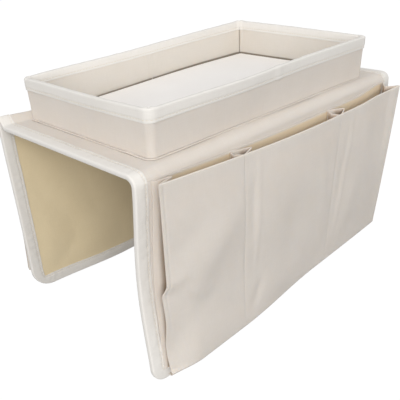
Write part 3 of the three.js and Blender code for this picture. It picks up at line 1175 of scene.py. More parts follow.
    def stitch_lines(self, side: Side) -> list[np.ndarray]:
        """Where the binding is sewn down, on its outer and its inner leg.

        Args:
            side: which half.

        Returns:
            The points of each line.
        """
        places, into = self.edge(side)
        sewn = places + into * (self.sewn * self.mitre(side, into))[:, None]
        rise = self.tape_proud - STITCH_SINK
        return [self.place(side, sewn[:, 0], sewn[:, 1], out) for out in (rise, self.lining_face - rise)]

    def hang(self, piece: bpy.types.Object) -> None:
        """Bakes a piece's transform into its mesh.

        Args:
            piece: the piece.
        """
        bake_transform(piece)

    def layers(self, side: Side, finishes: Finishes) -> list[bpy.types.Object]:
        """Makes and dresses the cover and the lining of half of the saddle.

        Args:
            side: which half.
            finishes: the materials.

        Returns:
            The cover and the lining.
        """
        name = side.value
        cover = self.sheet(side, f"{name}_panel_cover", self.edge_margin, 0.0, self.fabric,
                           self.COVER_RELIEF, self.COVER_WAVE)
        finish_piece(cover, finishes.cover, Slot.COVER, "top_cover", f"{name}_fold_cover", f"{name}_cover")
        lining = self.sheet(side, f"{name}_panel_lining", self.edge_margin, self.lining_face, self.fabric,
                            self.LINING_RELIEF, self.LINING_WAVE, inwards=True)
        finish_piece(lining, finishes.lining, Slot.LINING,
                     "top_lining", f"{name}_fold_lining", f"{name}_lining")
        return [cover, lining]

    def bound_edge(self, side: Side, finishes: Finishes) -> list[bpy.types.Object]:
        """Makes and dresses the binding of half of the saddle, and its stitches.

        Args:
            side: which half.
            finishes: the materials.

        Returns:
            The binding and the stitches.
        """
        name = side.value
        binding = self.binding(side)
        tapes = [f"{part}_tape_{end}" for part in ("top", f"{name}_fold") for end in side.ends]
        finish_piece(binding, finishes.binding, Slot.BINDING, f"{name}_tape", *tapes)
        places, _ = self.edge(side)
        depth, out = self.tape_section()
        stitches = StitchRow().sew(f"{name}_binding_stitches", self.stitch_lines(side), finishes.thread)
        return [binding, finish_piece(stitches, finishes.thread, Slot.BINDING)]

    def board_piece(self, side: Side, finishes: Finishes) -> None:
        """Makes the board inside a flap, warped with it.

        Args:
            side: which flap.
            finishes: the materials.
        """
        name = side.value
        _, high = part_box(f"{name}_board")
        inset = self.half_length - high.x
        start = self.fold_y + self.bend + self.fold_z - high.z + WARPS[side].ridge
        board = self.sheet(side, f"{name}_panel_board", inset, self.board_face, self.board, 0.0,
                           self.COVER_WAVE, start=start)
        finish_piece(board, finishes.board, Slot.BOARD, f"{name}_board")
        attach(board, f"{name}_flap")

    def build(self, finishes: Finishes) -> None:
        """Makes and dresses both halves of the saddle.

        Args:
            finishes: the materials.
        """
        for side in Side:
            layers = self.layers(side, finishes)
            for piece in layers + self.bound_edge(side, finishes):
                self.hang(piece)
            self.board_piece(side, finishes)
        points, thickness = board_face(*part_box("top_board"))
        board = cloth("top_panel_board", self.raised(points), thickness)
        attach(finish_piece(board, finishes.board, Slot.BOARD, "top_board"), "saddle")


# Pockets


@dataclass(frozen=True)
class PocketLook:
    """How the pockets of one side hang, lengths in metres, with the flap laid out as the front one."""

    near_stand: float
    stand: float
    far_stand: float
    sag: float
    near_lift: float
    far_lift: float
    back_sag: float
    kink: float
    kink_fade: tuple[float, float]
    pinch: float
    fuller: float
    full_fade: float
    full_span: tuple[float, float, float, float]
    mouth_slip: float
    near_root: float
    # groove: strength of the painted shade in the gussets' grooves, beside the faces' edges.
    groove: float
    folds: tuple[tuple[float, float], ...]
    creases: tuple[Crease, ...]


def crease(x0: float, z0: float, x1: float, z1: float, width: float, height: float) -> Crease:
    """A crease given in millimetres."""
    return Crease((x0 * MM, z0 * MM), (x1 * MM, z1 * MM), width * MM, height * MM)


LOOKS = {
    Side.FRONT: PocketLook(
        near_stand=15.0 * MM, stand=16.6 * MM, far_stand=21.0 * MM, sag=1.5 * MM, near_lift=10.2 * MM,
        far_lift=1.8 * MM, back_sag=3.0 * MM, kink=2.6 * MM, kink_fade=(55 * MM, 88 * MM), pinch=4.3 * MM,
        fuller=5.9 * MM, full_fade=1.0, full_span=(-6 * MM, 32 * MM, 90 * MM, 205 * MM),
        mouth_slip=4.1 * MM, near_root=4.0 * MM, groove=0.75,
        folds=((15 * MM, 3 * MM), (15.5 * MM, 3.5 * MM), (15.5 * MM, 12.5 * MM)),
        creases=(
            crease(-60, 174, -63, 60, 3.0, 0.6),
            crease(-67, 150, -68, 92, 5.0, -0.9),
            crease(83, 172, 71, 40, 3.0, 0.55),
            crease(76, 150, 68, 60, 5.0, -0.7),
            crease(-84, 140, -138, 84, 14.0, 1.5),
            crease(-120, 150, -156, 116, 12.0, -0.8),
            crease(-96, 92, -150, 40, 16.0, -0.9),
            crease(-54, 46, -66, 22, 6.0, -1.4),
            crease(-150, 86, -120, 70, 5.0, 0.9),
            crease(36, 140, 48, 44, 9.0, 0.9),
            crease(102, 100, 84, 24, 12.0, 1.2),
            crease(2, 136, -14, 36, 18.0, -1.1),
            crease(130, 156, 142, 50, 15.0, -1.2),
        ),
    ),
    Side.REAR: PocketLook(
        near_stand=16.4 * MM, stand=16.4 * MM, far_stand=16.6 * MM, sag=1.2 * MM, near_lift=1.5 * MM,
        far_lift=1.2 * MM, back_sag=1.0 * MM, kink=6.0 * MM, kink_fade=(4 * MM, 12 * MM), pinch=0.0,
        fuller=18.0 * MM, full_fade=2.0, full_span=(-10 * MM, -5 * MM, 70 * MM, 300 * MM),
        mouth_slip=0.0, near_root=0.0, groove=0.2,
        folds=((14 * MM, 12 * MM), (13 * MM, 14 * MM), (14 * MM, 14 * MM)),
        creases=(
            crease(-62, 172, -63, 50, 3.0, 0.7),
            crease(46, 170, 48, 46, 3.0, 0.7),
            crease(-96, 140, -126, 60, 13.0, 1.7),
            crease(20, 132, -24, 56, 16.0, -1.3),
            crease(112, 128, 86, 40, 14.0, 1.5),
            crease(146, 120, 132, 36, 12.0, -1.2),
        ),
    ),
}


@dataclass(frozen=True)
class PocketBank:
    """The back sheet and the three bellows pockets of one flap."""

    side: Side
    saddle: Saddle
    look: PocketLook
    edges: tuple[tuple[float, float], ...]
    span: float
    seam_out: float
    seam_z: float
    mouth_z: float
    back_top: float
    back_foot: float
    fabric: float = 0.6 * MM
    seat: float = 6.6 * MM
    bottom_bend: float = 4.6 * MM
    hem: float = 10.0 * MM
    hem_fold: float = 0.8 * MM
    hemmed: float = 1.0 * MM
    hairline: float = 0.15 * MM
    under_tape: float = 4.0 * MM

    NEAR_REACH, RISE_REACH, RISE_POWER, FAR_RISE = 0.55, 0.6, 1.6, (0.78, 0.9)
    BACK_NEAR, BACK_FAR, BACK_RISE = 2.0, 1.5, (0.84, 0.98)
    CORNER_FROM, CORNER_RISE = 0.95, 3.0 * MM
    HANG_Z, HANG_LOW, HANG_NEAR = 91 * MM, (35 * MM, 82 * MM), (4 * MM, 45 * MM)
    HANG_SHARP, HANG_SOFT, HANG_LEAST, HANG_MORE = 6 * MM, 24 * MM, 0.15, 0.35
    PINCH_Z, PINCH_TALL, PINCH_REACH = 27 * MM, 20 * MM, 30 * MM
    KINK_Z, KINK_SHARP, KINK_REACH = 93 * MM, 3 * MM, 14 * MM
    BELLY = 2.0 * MM
    MARGIN, EDGE_STEP, FACE_STEP = 5 * MM, 0.6 * MM, 2 * MM
    SEAM_ROOM = 0.12
    RELIEF, RELIEF_WAVE = 0.8 * MM, 70 * MM
    CALM_EDGE, CALM_FOOT, CALM_MOUTH = (2 * MM, 14 * MM), (6 * MM, 30 * MM), (-8 * MM, 35 * MM)
    CREASE_FOOT = (4 * MM, 20 * MM)
    RIB_IN, RIB_WIDE, RIB_DEEP, RIB_FADE = 3.2 * MM, 0.7 * MM, 0.3 * MM, (20 * MM, 95 * MM)
    OUTERMOST = 8 * MM
    ROOT_DROP, ROOT_ROOM, TIP_DROP, TIP_ROOM = 0.8 * MM, 0.3 * MM, 0.4 * MM, 1.4 * MM
    DENT, DENT_WAVE, LEAF = 0.6 * MM, 40 * MM, 20 * MM
    FOLD_POWER, FOLD_OPEN = 1.2, (-0.25, 0.45)
    MEAN_FOLD = 0.85
    BACK_OUT, BACK_HEM, BACK_MARGIN, BACK_STEP = 0.5 * MM, 0.3 * MM, 8 * MM, 3 * MM
    HEM_EDGE, SAG_TALL = 1.2 * MM, 80 * MM
    LEAN, LEAN_DRIFT, LEAN_WAVE, LEAN_TALL = 0.15 * MM, 0.1 * MM, 60 * MM, 16 * MM
    # The last two place the back sheet's painted shade: how far below its top edge it starts, and how far in
    # from its ends.
    LEAN_ENDS, LIP, SHADE_ENDS = (2 * MM, 30 * MM), (1.0 * MM, 2.6 * MM), 6 * MM
    BLEND_REACH = 12 * MM

    @classmethod
    def from_frame(cls, side: Side, saddle: Saddle) -> "PocketBank":
        """Reads the places of one flap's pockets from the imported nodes.

        Args:
            side: which flap.
            saddle: the saddle that it hangs on.

        Returns:
            The bank.
        """
        boxes = [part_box(f"{side.value}_{place}_pocket_face") for place in side.places]
        turned = -side.near
        edges = tuple(tuple(sorted((turned * low.x, turned * high.x))) for low, high in boxes)
        back_low, back_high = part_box(f"{side.value}_pocket_back")
        _, face_high = boxes[0]
        hinge = next(j for j in frame["joints"] if j["name"] == f"{side.value}_middle_pocket_open")
        return cls(
            side=side, saddle=saddle, look=LOOKS[side], edges=edges,
            span=back_high.x, seam_out=abs(hinge["pos_m"][1]) - saddle.face, seam_z=hinge["pos_m"][2],
            mouth_z=face_high.z, back_top=back_high.z, back_foot=back_low.z,
        )

    def far(self, x: np.ndarray) -> np.ndarray:
        """0 at the bank's near end to 1 at its far end."""
        return np.clip((1 - self.side.near * x / self.span) / 2, 0.0, 1.0)

    def from_near(self, x: np.ndarray) -> np.ndarray:
        """Distance from the bank's near end."""
        return self.span - self.side.near * x

    def nearness(self, x: np.ndarray) -> np.ndarray:
        """1 at the bank's near end to 0 past its middle."""
        return 1 - smooth(self.far(x), 0.0, self.NEAR_REACH)

    def near_rise(self, x: np.ndarray) -> np.ndarray:
        """1 at the bank's near end, falling evenly to 0 past its middle."""
        return np.clip(1 - self.far(x) / self.RISE_REACH, 0.0, 1.0)

    def fullness(self, x: np.ndarray) -> np.ndarray:
        """How much further out the bottom of a face stands where the pocket sags.

        Args:
            x: places along the flap.

        Returns:
            Distance out, added to the seat.
        """
        along = self.from_near(x)
        low, full, fading, gone = self.look.full_span
        return self.look.fuller * smooth(along, low, full) * (1 - smooth(along, fading, gone))

    def mouth(self, x: np.ndarray) -> tuple[np.ndarray, np.ndarray]:
        """The mouth line before any bow.

        Args:
            x: places along the flap.

        Returns:
            Its distance out from the cover's face, and its height.
        """
        far = self.far(x)
        look = self.look
        corner = smooth(far, self.CORNER_FROM, 1.0)
        out = look.stand + (look.near_stand - look.stand) * self.nearness(x)
        out = out + (look.far_stand - look.stand) * corner
        height = self.mouth_z - look.sag + look.near_lift * self.near_rise(x) ** self.RISE_POWER
        height = height + look.far_lift * smooth(far, *self.FAR_RISE) + self.CORNER_RISE * corner
        return out, height

    def back_line(self, x: np.ndarray) -> np.ndarray:
        """Height of the back sheet's top edge, which sags between its sewn ends.

        Args:
            x: places along the flap.

        Returns:
            The height at each place.
        """
        near_rise = self.BACK_NEAR * self.look.back_sag * self.near_rise(x) ** 2
        far_rise = self.BACK_FAR * self.look.back_sag * smooth(self.far(x), *self.BACK_RISE)
        return self.back_top - self.look.back_sag + near_rise + far_rise

    def slack(self, x: np.ndarray, z: np.ndarray) -> np.ndarray:
        """How far a face hangs straight, off the bowed near part of its flap.

        Args:
            x: places along the flap.
            z: heights.

        Returns:
            Distance out, added to the face's own stand.
        """
        bow = WARPS[self.side].bow(*self.saddle.reach(self.side, x, z))
        from_near = self.from_near(x)
        width = self.HANG_SHARP + self.HANG_SOFT * smooth(from_near, *self.HANG_NEAR)
        below = self.HANG_LEAST + self.HANG_MORE * smooth(z, *self.HANG_LOW)
        hanging = below + (1 - below) * smooth(z, self.HANG_Z - width, self.HANG_Z + width)
        pinch = self.look.pinch * hump(z - self.PINCH_Z, self.PINCH_TALL)
        return bow * hanging - pinch * smooth(self.PINCH_REACH - from_near, 0.0, self.PINCH_REACH)

    def face_line(self, x: np.ndarray, share: np.ndarray, bow: np.ndarray) -> tuple[np.ndarray, np.ndarray]:
        """The wall of a pocket face between its bottom bend and its mouth.

        Args:
            x: places along the flap.
            share: 0 above the bottom bend to 1 at the mouth.
            bow: 0 at the pocket's edges to 1 at its middle.

        Returns:
            Distance out from the cover's face, and height.
        """
        out, height = self.mouth(x)
        low = self.seam_z + self.bottom_bend
        z = low + (height - low) * share
        lean = self.seat + (out - self.seat) * share + self.fullness(x) * (1 - share) ** self.look.full_fade
        belly = self.BELLY * np.sin(np.pi * np.clip(share, 0, 1)) ** 0.8
        return lean + bow * belly + self.slack(x + 0 * z, z), z

    def face_foot(self, x: np.ndarray, rise: np.ndarray) -> tuple[np.ndarray, np.ndarray]:
        """The bottom of a face: its round bend, and the tail that runs in to the seam.

        Args:
            x: places along the flap.
            rise: relief of the wall just above.

        Returns:
            Distance out from the cover's face, and height.
        """
        bend = self.bottom_bend
        seat = self.seat + self.fullness(x)
        arc = np.linspace(0.0, QUARTER, 8)[1:, None]
        sewn = self.seam_out + self.SEAM_ROOM * WARPS[self.side].ridge
        tail = seat - bend
        tail = tail + (sewn - tail) * np.linspace(0.0, 1.0, 3)[1:, None]
        out = np.concatenate([seat - bend * (1 - np.cos(arc)) + rise, tail])
        z = np.concatenate([self.seam_z + bend * (1 - np.sin(arc)) + 0 * x, self.seam_z + 0 * tail])
        return out, z

    def face(self, place: int) -> bpy.types.Object:
        """One pocket's front, from the hem inside its mouth down to the bottom seam.

        Args:
            place: which pocket, from the low end.

        Returns:
            The piece.
        """
        low, high = self.edges[place]
        grow = (self.edges[1][0] - self.edges[0][1] - self.hairline) / 2
        low = low - (grow if place > 0 else 0.0)
        high = high + (grow if place < 2 else 0.0)
        first, last = low + self.MARGIN, high - self.MARGIN
        x = joined(steps(low, first, self.EDGE_STEP), steps(first, last, self.FACE_STEP),
                   steps(last, high, self.EDGE_STEP))[None, :]
        bow = np.clip(np.sin(np.pi * (x - low) / (high - low)), 0.0, 1.0) ** 0.7
        turn = np.linspace(np.pi, 0.0, 7)[:, None]
        fold = self.hem_fold
        hem = np.linspace(self.hem, 0.0, 6)[:, None]
        out_top, z_top = self.face_line(x, np.ones((1, 1)), bow)
        out_wall, z_wall = self.face_line(x, np.linspace(1.0, 0.0, 64)[:, None], bow)
        rise = self.relief(x, z_wall, low, high)
        lip = out_top + rise[:1]
        foot_out, foot_z = self.face_foot(x, rise[-1:])
        out = np.concatenate([lip - 2 * fold + 0 * hem, lip - fold + fold * np.cos(turn),
                              out_wall[1:] + rise[1:], foot_out])
        z = np.concatenate([z_top - fold - hem, z_top - fold + fold * np.sin(turn),
                            np.minimum(z_wall[1:], z_top - fold), foot_z])
        x = np.repeat(x, len(out), 0)
        x = x + self.edge_slip(x, z, low, high)
        points = self.saddle.on_flap(self.side, x, z, out)
        return cloth(f"{self.side.value}_{self.side.places[place]}_pocket_front", points, self.fabric)

    def edge_slip(self, x: np.ndarray, z: np.ndarray, low: float, high: float) -> np.ndarray:
        """How far a face has slipped along the flap: at its mouth, and below the kink of the near edge.

        Args:
            x: places along the flap.
            z: heights.
            low: the pocket's low edge.
            high: the pocket's high edge.

        Returns:
            The slip at each place.
        """
        near_edge = self.edges[0][0] if self.side is Side.FRONT else self.edges[2][1]
        drawn = self.side.near * self.look.mouth_slip * self.nearness(x) * z / self.mouth_z
        if not low <= near_edge <= high:
            return drawn
        kinked = smooth(self.KINK_Z - z, 0.0, self.KINK_SHARP) * smooth(z, *self.look.kink_fade)
        by_edge = smooth(self.KINK_REACH - np.abs(x - near_edge), 0.0, self.KINK_REACH)
        return drawn + self.side.near * self.look.kink * kinked * by_edge

    def relief(self, x: np.ndarray, z: np.ndarray, low: float, high: float) -> np.ndarray:
        """Folds, edge seams and unevenness of a pocket face.

        Args:
            x: places along the flap.
            z: heights.
            low: the pocket's low edge.
            high: the pocket's high edge.

        Returns:
            Distance out from the smooth face.
        """
        inside = np.minimum(x - low, high - x)
        calm = smooth(inside, *self.CALM_EDGE) * smooth(z, *self.CALM_FOOT)
        calm = calm * smooth(self.mouth_z - z, *self.CALM_MOUTH)
        total = self.RELIEF * calm * lumps(x, z, self.RELIEF_WAVE, 11)
        for fold in self.look.creases:
            total = total + fold.rise(x, z) * smooth(z, *self.CREASE_FOOT)
        rib = hump(inside - self.RIB_IN, self.RIB_WIDE)
        free_edge = smooth(z, *self.RIB_FADE)
        outer_edge = (np.abs(x) > self.span - self.OUTERMOST).astype(float)
        return total - self.RIB_DEEP * rib * free_edge * outer_edge

    def gusset(self, place: int, end: int) -> bpy.types.Object:
        """One side of a pocket: two leaves that fold into it.

        Args:
            place: which pocket, from the low end.
            end: 0 for its low side, 1 for its high side.

        Returns:
            The piece.
        """
        edge = self.edges[place][end]
        inward = 1.0 if end == 0 else -1.0
        share = np.linspace(1.0, 0.02, 44)[:, None]
        across = np.linspace(0.0, 1.0, 21)[None, :]
        here = np.array([[edge]])
        out, z_face = self.face_line(here, share, np.zeros((1, 1)))
        low = self.seam_z + self.bottom_bend
        z_root = low + (self.back_line(here) - self.ROOT_DROP - low) * share
        root = self.seam_out + self.ROOT_ROOM
        tip = out - self.TIP_ROOM
        fold = 1 - np.abs(2 * across - 1) ** self.FOLD_POWER
        depth = self.look.folds[place][end] * smooth(share, *self.FOLD_OPEN)
        dent = self.DENT * lumps(z_face, across * self.LEAF, self.DENT_WAVE, 17 + place * 2 + end)
        folded = depth * fold + self.TIP_DROP + dent * fold
        x = edge + inward * folded + self.root_slip(place, end, share) * (1 - across)
        slip = self.edge_slip(here + 0 * z_face, z_face, *self.edges[place])
        x = x + slip * (across if place + end in (0, 3) else 1.0)
        height = z_root + (z_face - self.TIP_DROP - z_root) * smooth(across, 0.0, 1.0)
        points = self.saddle.on_flap(self.side, x, height, root + (tip - root) * across)
        name = f"{self.side.value}_{self.side.places[place]}_pocket_side_{self.side.ends[end]}"
        # Painted shade in the groove where the gusset folds in behind the face's edge, away from its root,
        # its tip and the mouth.
        painted_shade_mask = smooth(across, 0.1, 0.26) * (1 - smooth(across, 0.75, 0.95)) * smooth(1 - share, 0.0, 0.03)
        return cloth(name, points, self.hemmed, depth=self.look.groove * painted_shade_mask)

    def root_slip(self, place: int, end: int, share: np.ndarray) -> np.ndarray:
        """How far a gusset's root lies from its face's edge, by the share of its height."""
        near_place = 0 if self.side is Side.FRONT else 3
        return self.side.near * self.look.near_root * (1 - share) * (place + end == near_place)

    def strip(self, place: int, end: int) -> float:
        """Mean width of a gusset's strip laid flat, two leaves of it.

        Args:
            place: which pocket, from the low end.
            end: 0 for its low side, 1 for its high side.

        Returns:
            The width.
        """
        edge = np.array(self.edges[place][end])
        out, _ = self.mouth(edge)
        half_out = float(out + self.seat + self.fullness(edge)) / 4
        return 2 * math.hypot(self.MEAN_FOLD * self.look.folds[place][end], half_out)

    def back(self) -> bpy.types.Object:
        """The sheet behind the pockets, with its hem along the top.

        Returns:
            The piece.
        """
        tucked = self.span + self.under_tape
        first, last = self.BACK_MARGIN - tucked, tucked - self.BACK_MARGIN
        x = joined(steps(-tucked, first, FINE), steps(first, last, self.BACK_STEP), steps(last, tucked, FINE))
        x = x[None, :]
        tall = self.back_top - self.back_foot
        below = joined(steps(0.0, self.hem, FINE), steps(self.hem, tall, COARSE))[:, None]
        hem = self.BACK_HEM * smooth(self.hem - below, 0.0, self.HEM_EDGE)
        drift = self.LEAN + self.LEAN_DRIFT * lumps(x, 0.0, self.LEAN_WAVE, 3)
        lean = smooth(self.LEAN_TALL - below, 0.0, self.LEAN_TALL) * drift
        lean = lean * smooth(self.span - np.abs(x), *self.LEAN_ENDS)
        out = (self.BACK_OUT + hem + lean) * smooth(tucked - np.abs(x), FINE, self.under_tape + FINE)
        drawn = (self.back_line(x) - self.back_top) * smooth(self.SAG_TALL - below, 0.0, self.SAG_TALL)
        points = self.saddle.on_flap(self.side, x, self.back_top - below + drawn, out)
        # Painted warm shade below the hem's top edge, fading out at the sheet's ends.
        painted_shade_mask = smooth(below, *self.LIP) * smooth(self.span - np.abs(x), 0.0, self.SHADE_ENDS)
        return cloth(f"{self.side.value}_pocket_sheet", points, self.fabric, depth=painted_shade_mask)

    def follow(self, piece: bpy.types.Object, place: int, end: int) -> None:
        """Bakes a gusset's transform into its mesh; the places on its face that are worked out first are not
        used.

        Args:
            piece: the gusset.
            place: which pocket, from the low end.
            end: 0 for its low side, 1 for its high side.
        """
        here, unbowed = np.array([[self.edges[place][end]]]), np.zeros((1, 1))
        line = [self.face_line(here, np.array([[share]]), unbowed) for share in (0.0, 1.0)]
        foot, mouth = [np.array((0.0, -self.saddle.face - out.item(), z.item())) for out, z in line]
        slope = (mouth - foot) / np.linalg.norm(mouth - foot)
        out_of_face = np.array((0.0, -slope[2], slope[1]))
        middle = (foot + mouth) / 2
        start = self.side.turn(middle - out_of_face * self.BLEND_REACH)
        tuple(self.side.turn(middle))
        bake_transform(piece)

    def build(self, finishes: Finishes) -> None:
        """Makes and dresses the back sheet and the pockets.

        Args:
            finishes: the materials.
        """
        name = self.side.value
        back = finish_piece(self.back(), finishes.inside, Slot.COVER, f"{name}_pocket_back")
        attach(back, f"{name}_flap")
        for place, label in enumerate(self.side.places):
            pocket = f"{name}_{label}_pocket"
            front = finish_piece(self.face(place), finishes.cover, Slot.COVER, f"{pocket}_face")
            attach(front, pocket)
            for end, way in enumerate(self.side.ends):
                gusset = self.gusset(place, end)
                finish_piece(gusset, finishes.cover, Slot.COVER, f"{pocket}_gusset_{way}")
                strip = self.strip(place, end)
                self.follow(gusset, place, end)


# Tray


def rounded_loop(half_x: float, half_y: float, corner: float, centre: float) -> np.ndarray:
    """A rounded rectangle, from the middle of its front round by its right side.

    Args:
        half_x: half of its length.
        half_y: half of its width.
        corner: radius of its corners.
        centre: X of its middle.

    Returns:
        Places (x, y), with the first one again at the end. Every loop has as many.
    """
    long_side = joined(np.linspace(0.0, 0.92, 46), np.linspace(0.92, 1.0, 16))
    short_half = joined(np.linspace(0.0, 0.86, 22), np.linspace(0.86, 1.0, 16))
    short_side = joined(-short_half[::-1], short_half)
    arc = np.linspace(0.0, QUARTER, 10)[1:-1]
    flat_x, flat_y = half_x - corner, half_y - corner
    front = np.stack([long_side * flat_x, np.full_like(long_side, -half_y)], 1)
    turn = np.stack([flat_x + corner * np.sin(arc), -flat_y - corner * np.cos(arc)], 1)
    right = np.stack([np.full_like(short_side, half_x), short_side * flat_y], 1)
    quarter = np.concatenate([front, turn, right])
    back = np.concatenate([turn[::-1], front[::-1]]) * np.array((1.0, -1.0))
    half = np.concatenate([quarter, back])
    other = half[1:] * np.array((-1.0, -1.0))
    return np.concatenate([half, other]) + np.array((centre, 0.0))


@dataclass(frozen=True)
class Bow:
    """How a tray wall's rim bows outwards: where the most is, how wide and how far, in metres."""

    middle: float
    width: float
    depth: float

    def out(self, along: np.ndarray) -> np.ndarray:
        """The bow at each place along the wall."""
        return self.depth * hump(along - self.middle, self.width)


@dataclass(frozen=True)
class Tray:
    """The bound tray on the top panel, and its loose floor."""

    saddle: Saddle
    half_x: float
    half_y: float
    centre: float
    foot: float
    wall_top: float
    rim_top: float
    rim_foot: float
    inner_foot: float
    lining_in: float
    proud: float
    base_low: Vector
    base_high: Vector
    floor_low: Vector
    floor_high: Vector
    join_x: float
    corner: float = 6.5 * MM
    crease: float = 0.9 * MM
    fabric: float = 0.6 * MM
    press: float = 0.2 * MM
    nose: float = 2.0 * MM
    front_tuck: float = 2.8 * MM
    far_tuck: float = 1.0 * MM
    roll: float = 1.0 * MM
    lap: float = 4.0 * MM
    floor_gap: Vector = Vector((0.9 * MM, 1.2 * MM, 0.0))
    floor_inset: Vector = Vector((0.2 * MM, 0.3 * MM, 0.0))
    floor_lift: float = 4.0 * MM
    base_ring: float = 30 * MM
    near_front_rise: float = 0.8 * MM
    near_rear_rise: float = -0.6 * MM
    far_front_rise: float = 3.6 * MM
    far_rear_rise: float = 6.8 * MM
    front_bow: Bow = Bow(-50 * MM, 55 * MM, 3.6 * MM)
    front_sag: Bow = Bow(-50 * MM, 55 * MM, 0.3 * MM)
    rear_sag: Bow = Bow(-40 * MM, 75 * MM, 1.1 * MM)
    rear_bow: Bow = Bow(-110 * MM, 45 * MM, 2.0 * MM)
    near_bow: Bow = Bow(-20 * MM, 60 * MM, 2.8 * MM)
    far_bow: Bow = Bow(10 * MM, 60 * MM, 2.5 * MM)

    RIM_HANG = 0.8 * MM
    RIM_TURN = 1.5 * MM
    TIGHTEST = 0.5 * MM
    WALL_ROWS = 20
    RELIEF, RELIEF_WAVE = 0.35 * MM, 60 * MM
    LINING_RELIEF, LINING_WAVE = 0.3 * MM, 50 * MM
    FOOT_TUCK, FOOT_TALL = 0.5 * MM, 3 * MM
    WALL_INNER, WALL_OUTER, WALL_FINE, LONG_WALL = 14 * MM, 7 * MM, 8 * MM, 5 * MM
    ROLL_IN, ROLL_WIDE, CORNER_WIDE = 2.2 * MM, 1.6 * MM, 1.1 * MM
    # Painted shade on the lining: its strength in the inner corners and round the floor, and the heights
    # about the floor's top over which it fades in.
    CORNER_SHADE, GAP_SHADE, GAP_EDGE = 0.6, 0.8, (-0.3 * MM, 0.5 * MM)
    JOIN_HALF, JOIN_RISE, JOIN_GROOVE, GROOVE_OUT = 2.2 * MM, 0.8 * MM, 0.5 * MM, 3.0 * MM
    JOIN_THREAD, JOIN_STEP = 0.75 * MM, 3 * MM
    PUCKER, PUCKER_WAVE = 0.16 * MM, 10 * MM
    LAP_RISE, LAP_GROOVE = 0.6 * MM, 0.35 * MM
    LAP_SOFT, LAP_OUT, LAP_WIDE = 0.8 * MM, 0.6 * MM, 0.7 * MM
    WAVY, WAVY_LONG, WAVY_REACH, BASE_FINE = 0.25 * MM, 40 * MM, 6 * MM, 8 * MM
    FLOOR_RUN, FLOOR_CORNER, FLOOR_FINE, FLOOR_STEP = (-120 * MM, 80 * MM), 3 * MM, 10 * MM, 2 * MM
    TURN_IN = 14 * MM

    @classmethod
    def from_frame(cls, saddle: Saddle) -> "Tray":
        """Reads the tray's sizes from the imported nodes.

        Args:
            saddle: the saddle that it is sewn on.

        Returns:
            The tray.
        """
        cover_low, cover_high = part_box("tray_outer_cover")
        _, lining_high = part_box("tray_lining")
        rim_low, rim_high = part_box("tray_rim_tape")
        left_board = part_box("tray_board_rear_left")[1].x
        right_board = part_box("tray_board_rear_right")[0].x
        base_low, base_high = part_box("tray_base_sheet")
        floor_low, floor_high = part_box("tray_floor_cover")
        return cls(
            saddle=saddle,
            half_x=(cover_high.x - cover_low.x) / 2, half_y=cover_high.y,
            centre=(cover_high.x + cover_low.x) / 2,
            foot=cover_low.z, wall_top=cover_high.z, rim_top=rim_high.z, rim_foot=rim_low.z - cls.RIM_HANG,
            inner_foot=rim_low.z + cls.RIM_TURN,
            lining_in=cover_high.y - lining_high.y + cls.fabric, proud=rim_high.y - cover_high.y,
            base_low=base_low, base_high=base_high, floor_low=floor_low, floor_high=floor_high,
            join_x=(left_board + right_board) / 2,
        )

    def settled(self, points: np.ndarray) -> np.ndarray:
        """Points of the straight tray as it has settled: foot drawn in, rim bowed and not level.

        Args:
            points: places on or inside the straight walls.

        Returns:
            The places in the frame.
        """
        x, y, z = np.moveaxis(points, -1, 0)
        along = x - self.centre
        high = np.clip((z - self.foot) / (self.rim_top - self.foot), 0.0, 1.0)
        inner, outer = self.WALL_INNER, self.WALL_OUTER
        front, rear = (smooth(way * y, self.half_y - inner, self.half_y - outer) for way in (-1, 1))
        near, far = (smooth(way * along, self.half_x - inner, self.half_x - outer) for way in (-1, 1))
        front_out = self.front_bow.out(x) * high - self.front_tuck * (1 - high)
        far_out = self.far_bow.out(y) * high - self.far_tuck * (1 - high)
        moved_y = y + rear * self.rear_bow.out(x) * high - front * front_out
        moved_x = x + far * far_out - near * self.near_bow.out(y) * high
        to_far = np.clip((along / self.half_x + 1) / 2, 0.0, 1.0)
        to_rear = np.clip((y / self.half_y + 1) / 2, 0.0, 1.0)
        front_rise = self.near_front_rise + (self.far_front_rise - self.near_front_rise) * to_far
        rear_rise = self.near_rear_rise + (self.far_rear_rise - self.near_rear_rise) * to_far
        rise = front_rise + (rear_rise - front_rise) * to_rear
        rise = rise - front * self.front_sag.out(x) - rear * self.rear_sag.out(x)
        return self.saddle.raised(np.stack([moved_x, moved_y, z + rise * high], -1))

    def ring(self, offset: np.ndarray, z: np.ndarray, corner: np.ndarray) -> np.ndarray:
        """A grid round the wall.

        Args:
            offset: distance of each row outwards from the cover's face.
            z: height of each row.
            corner: corner radius of each row.

        Returns:
            The grid, closed on itself.
        """
        rows = []
        for out, height, radius in zip(offset, z, corner):
            loop = rounded_loop(self.half_x + out, self.half_y + out, radius, self.centre)
            rows.append(np.concatenate([loop, np.full((len(loop), 1), height)], 1))
        return np.stack(rows)

    def pushed(self, points: np.ndarray, rise: np.ndarray) -> np.ndarray:
        """A closed grid with each point moved along its normal, then settled.

        Args:
            points: the straight grid.
            rise: the move of each point.

        Returns:
            The places in the frame.
        """
        rise = np.array(np.broadcast_to(rise, points.shape[:2]))
        rise[:, -1] = rise[:, 0]
        return self.settled(points + grid_normals(points, True) * rise[..., None])

    def from_corner(self, points: np.ndarray) -> np.ndarray:
        """Distance from the nearest inner corner, along the inner wall.

        Args:
            points: places on the straight inner wall.

        Returns:
            The distance of each place.
        """
        from_end = self.half_x - self.lining_in - np.abs(points[..., 0] - self.centre)
        from_side = self.half_y - self.lining_in - np.abs(points[..., 1])
        return np.maximum(from_end, from_side)

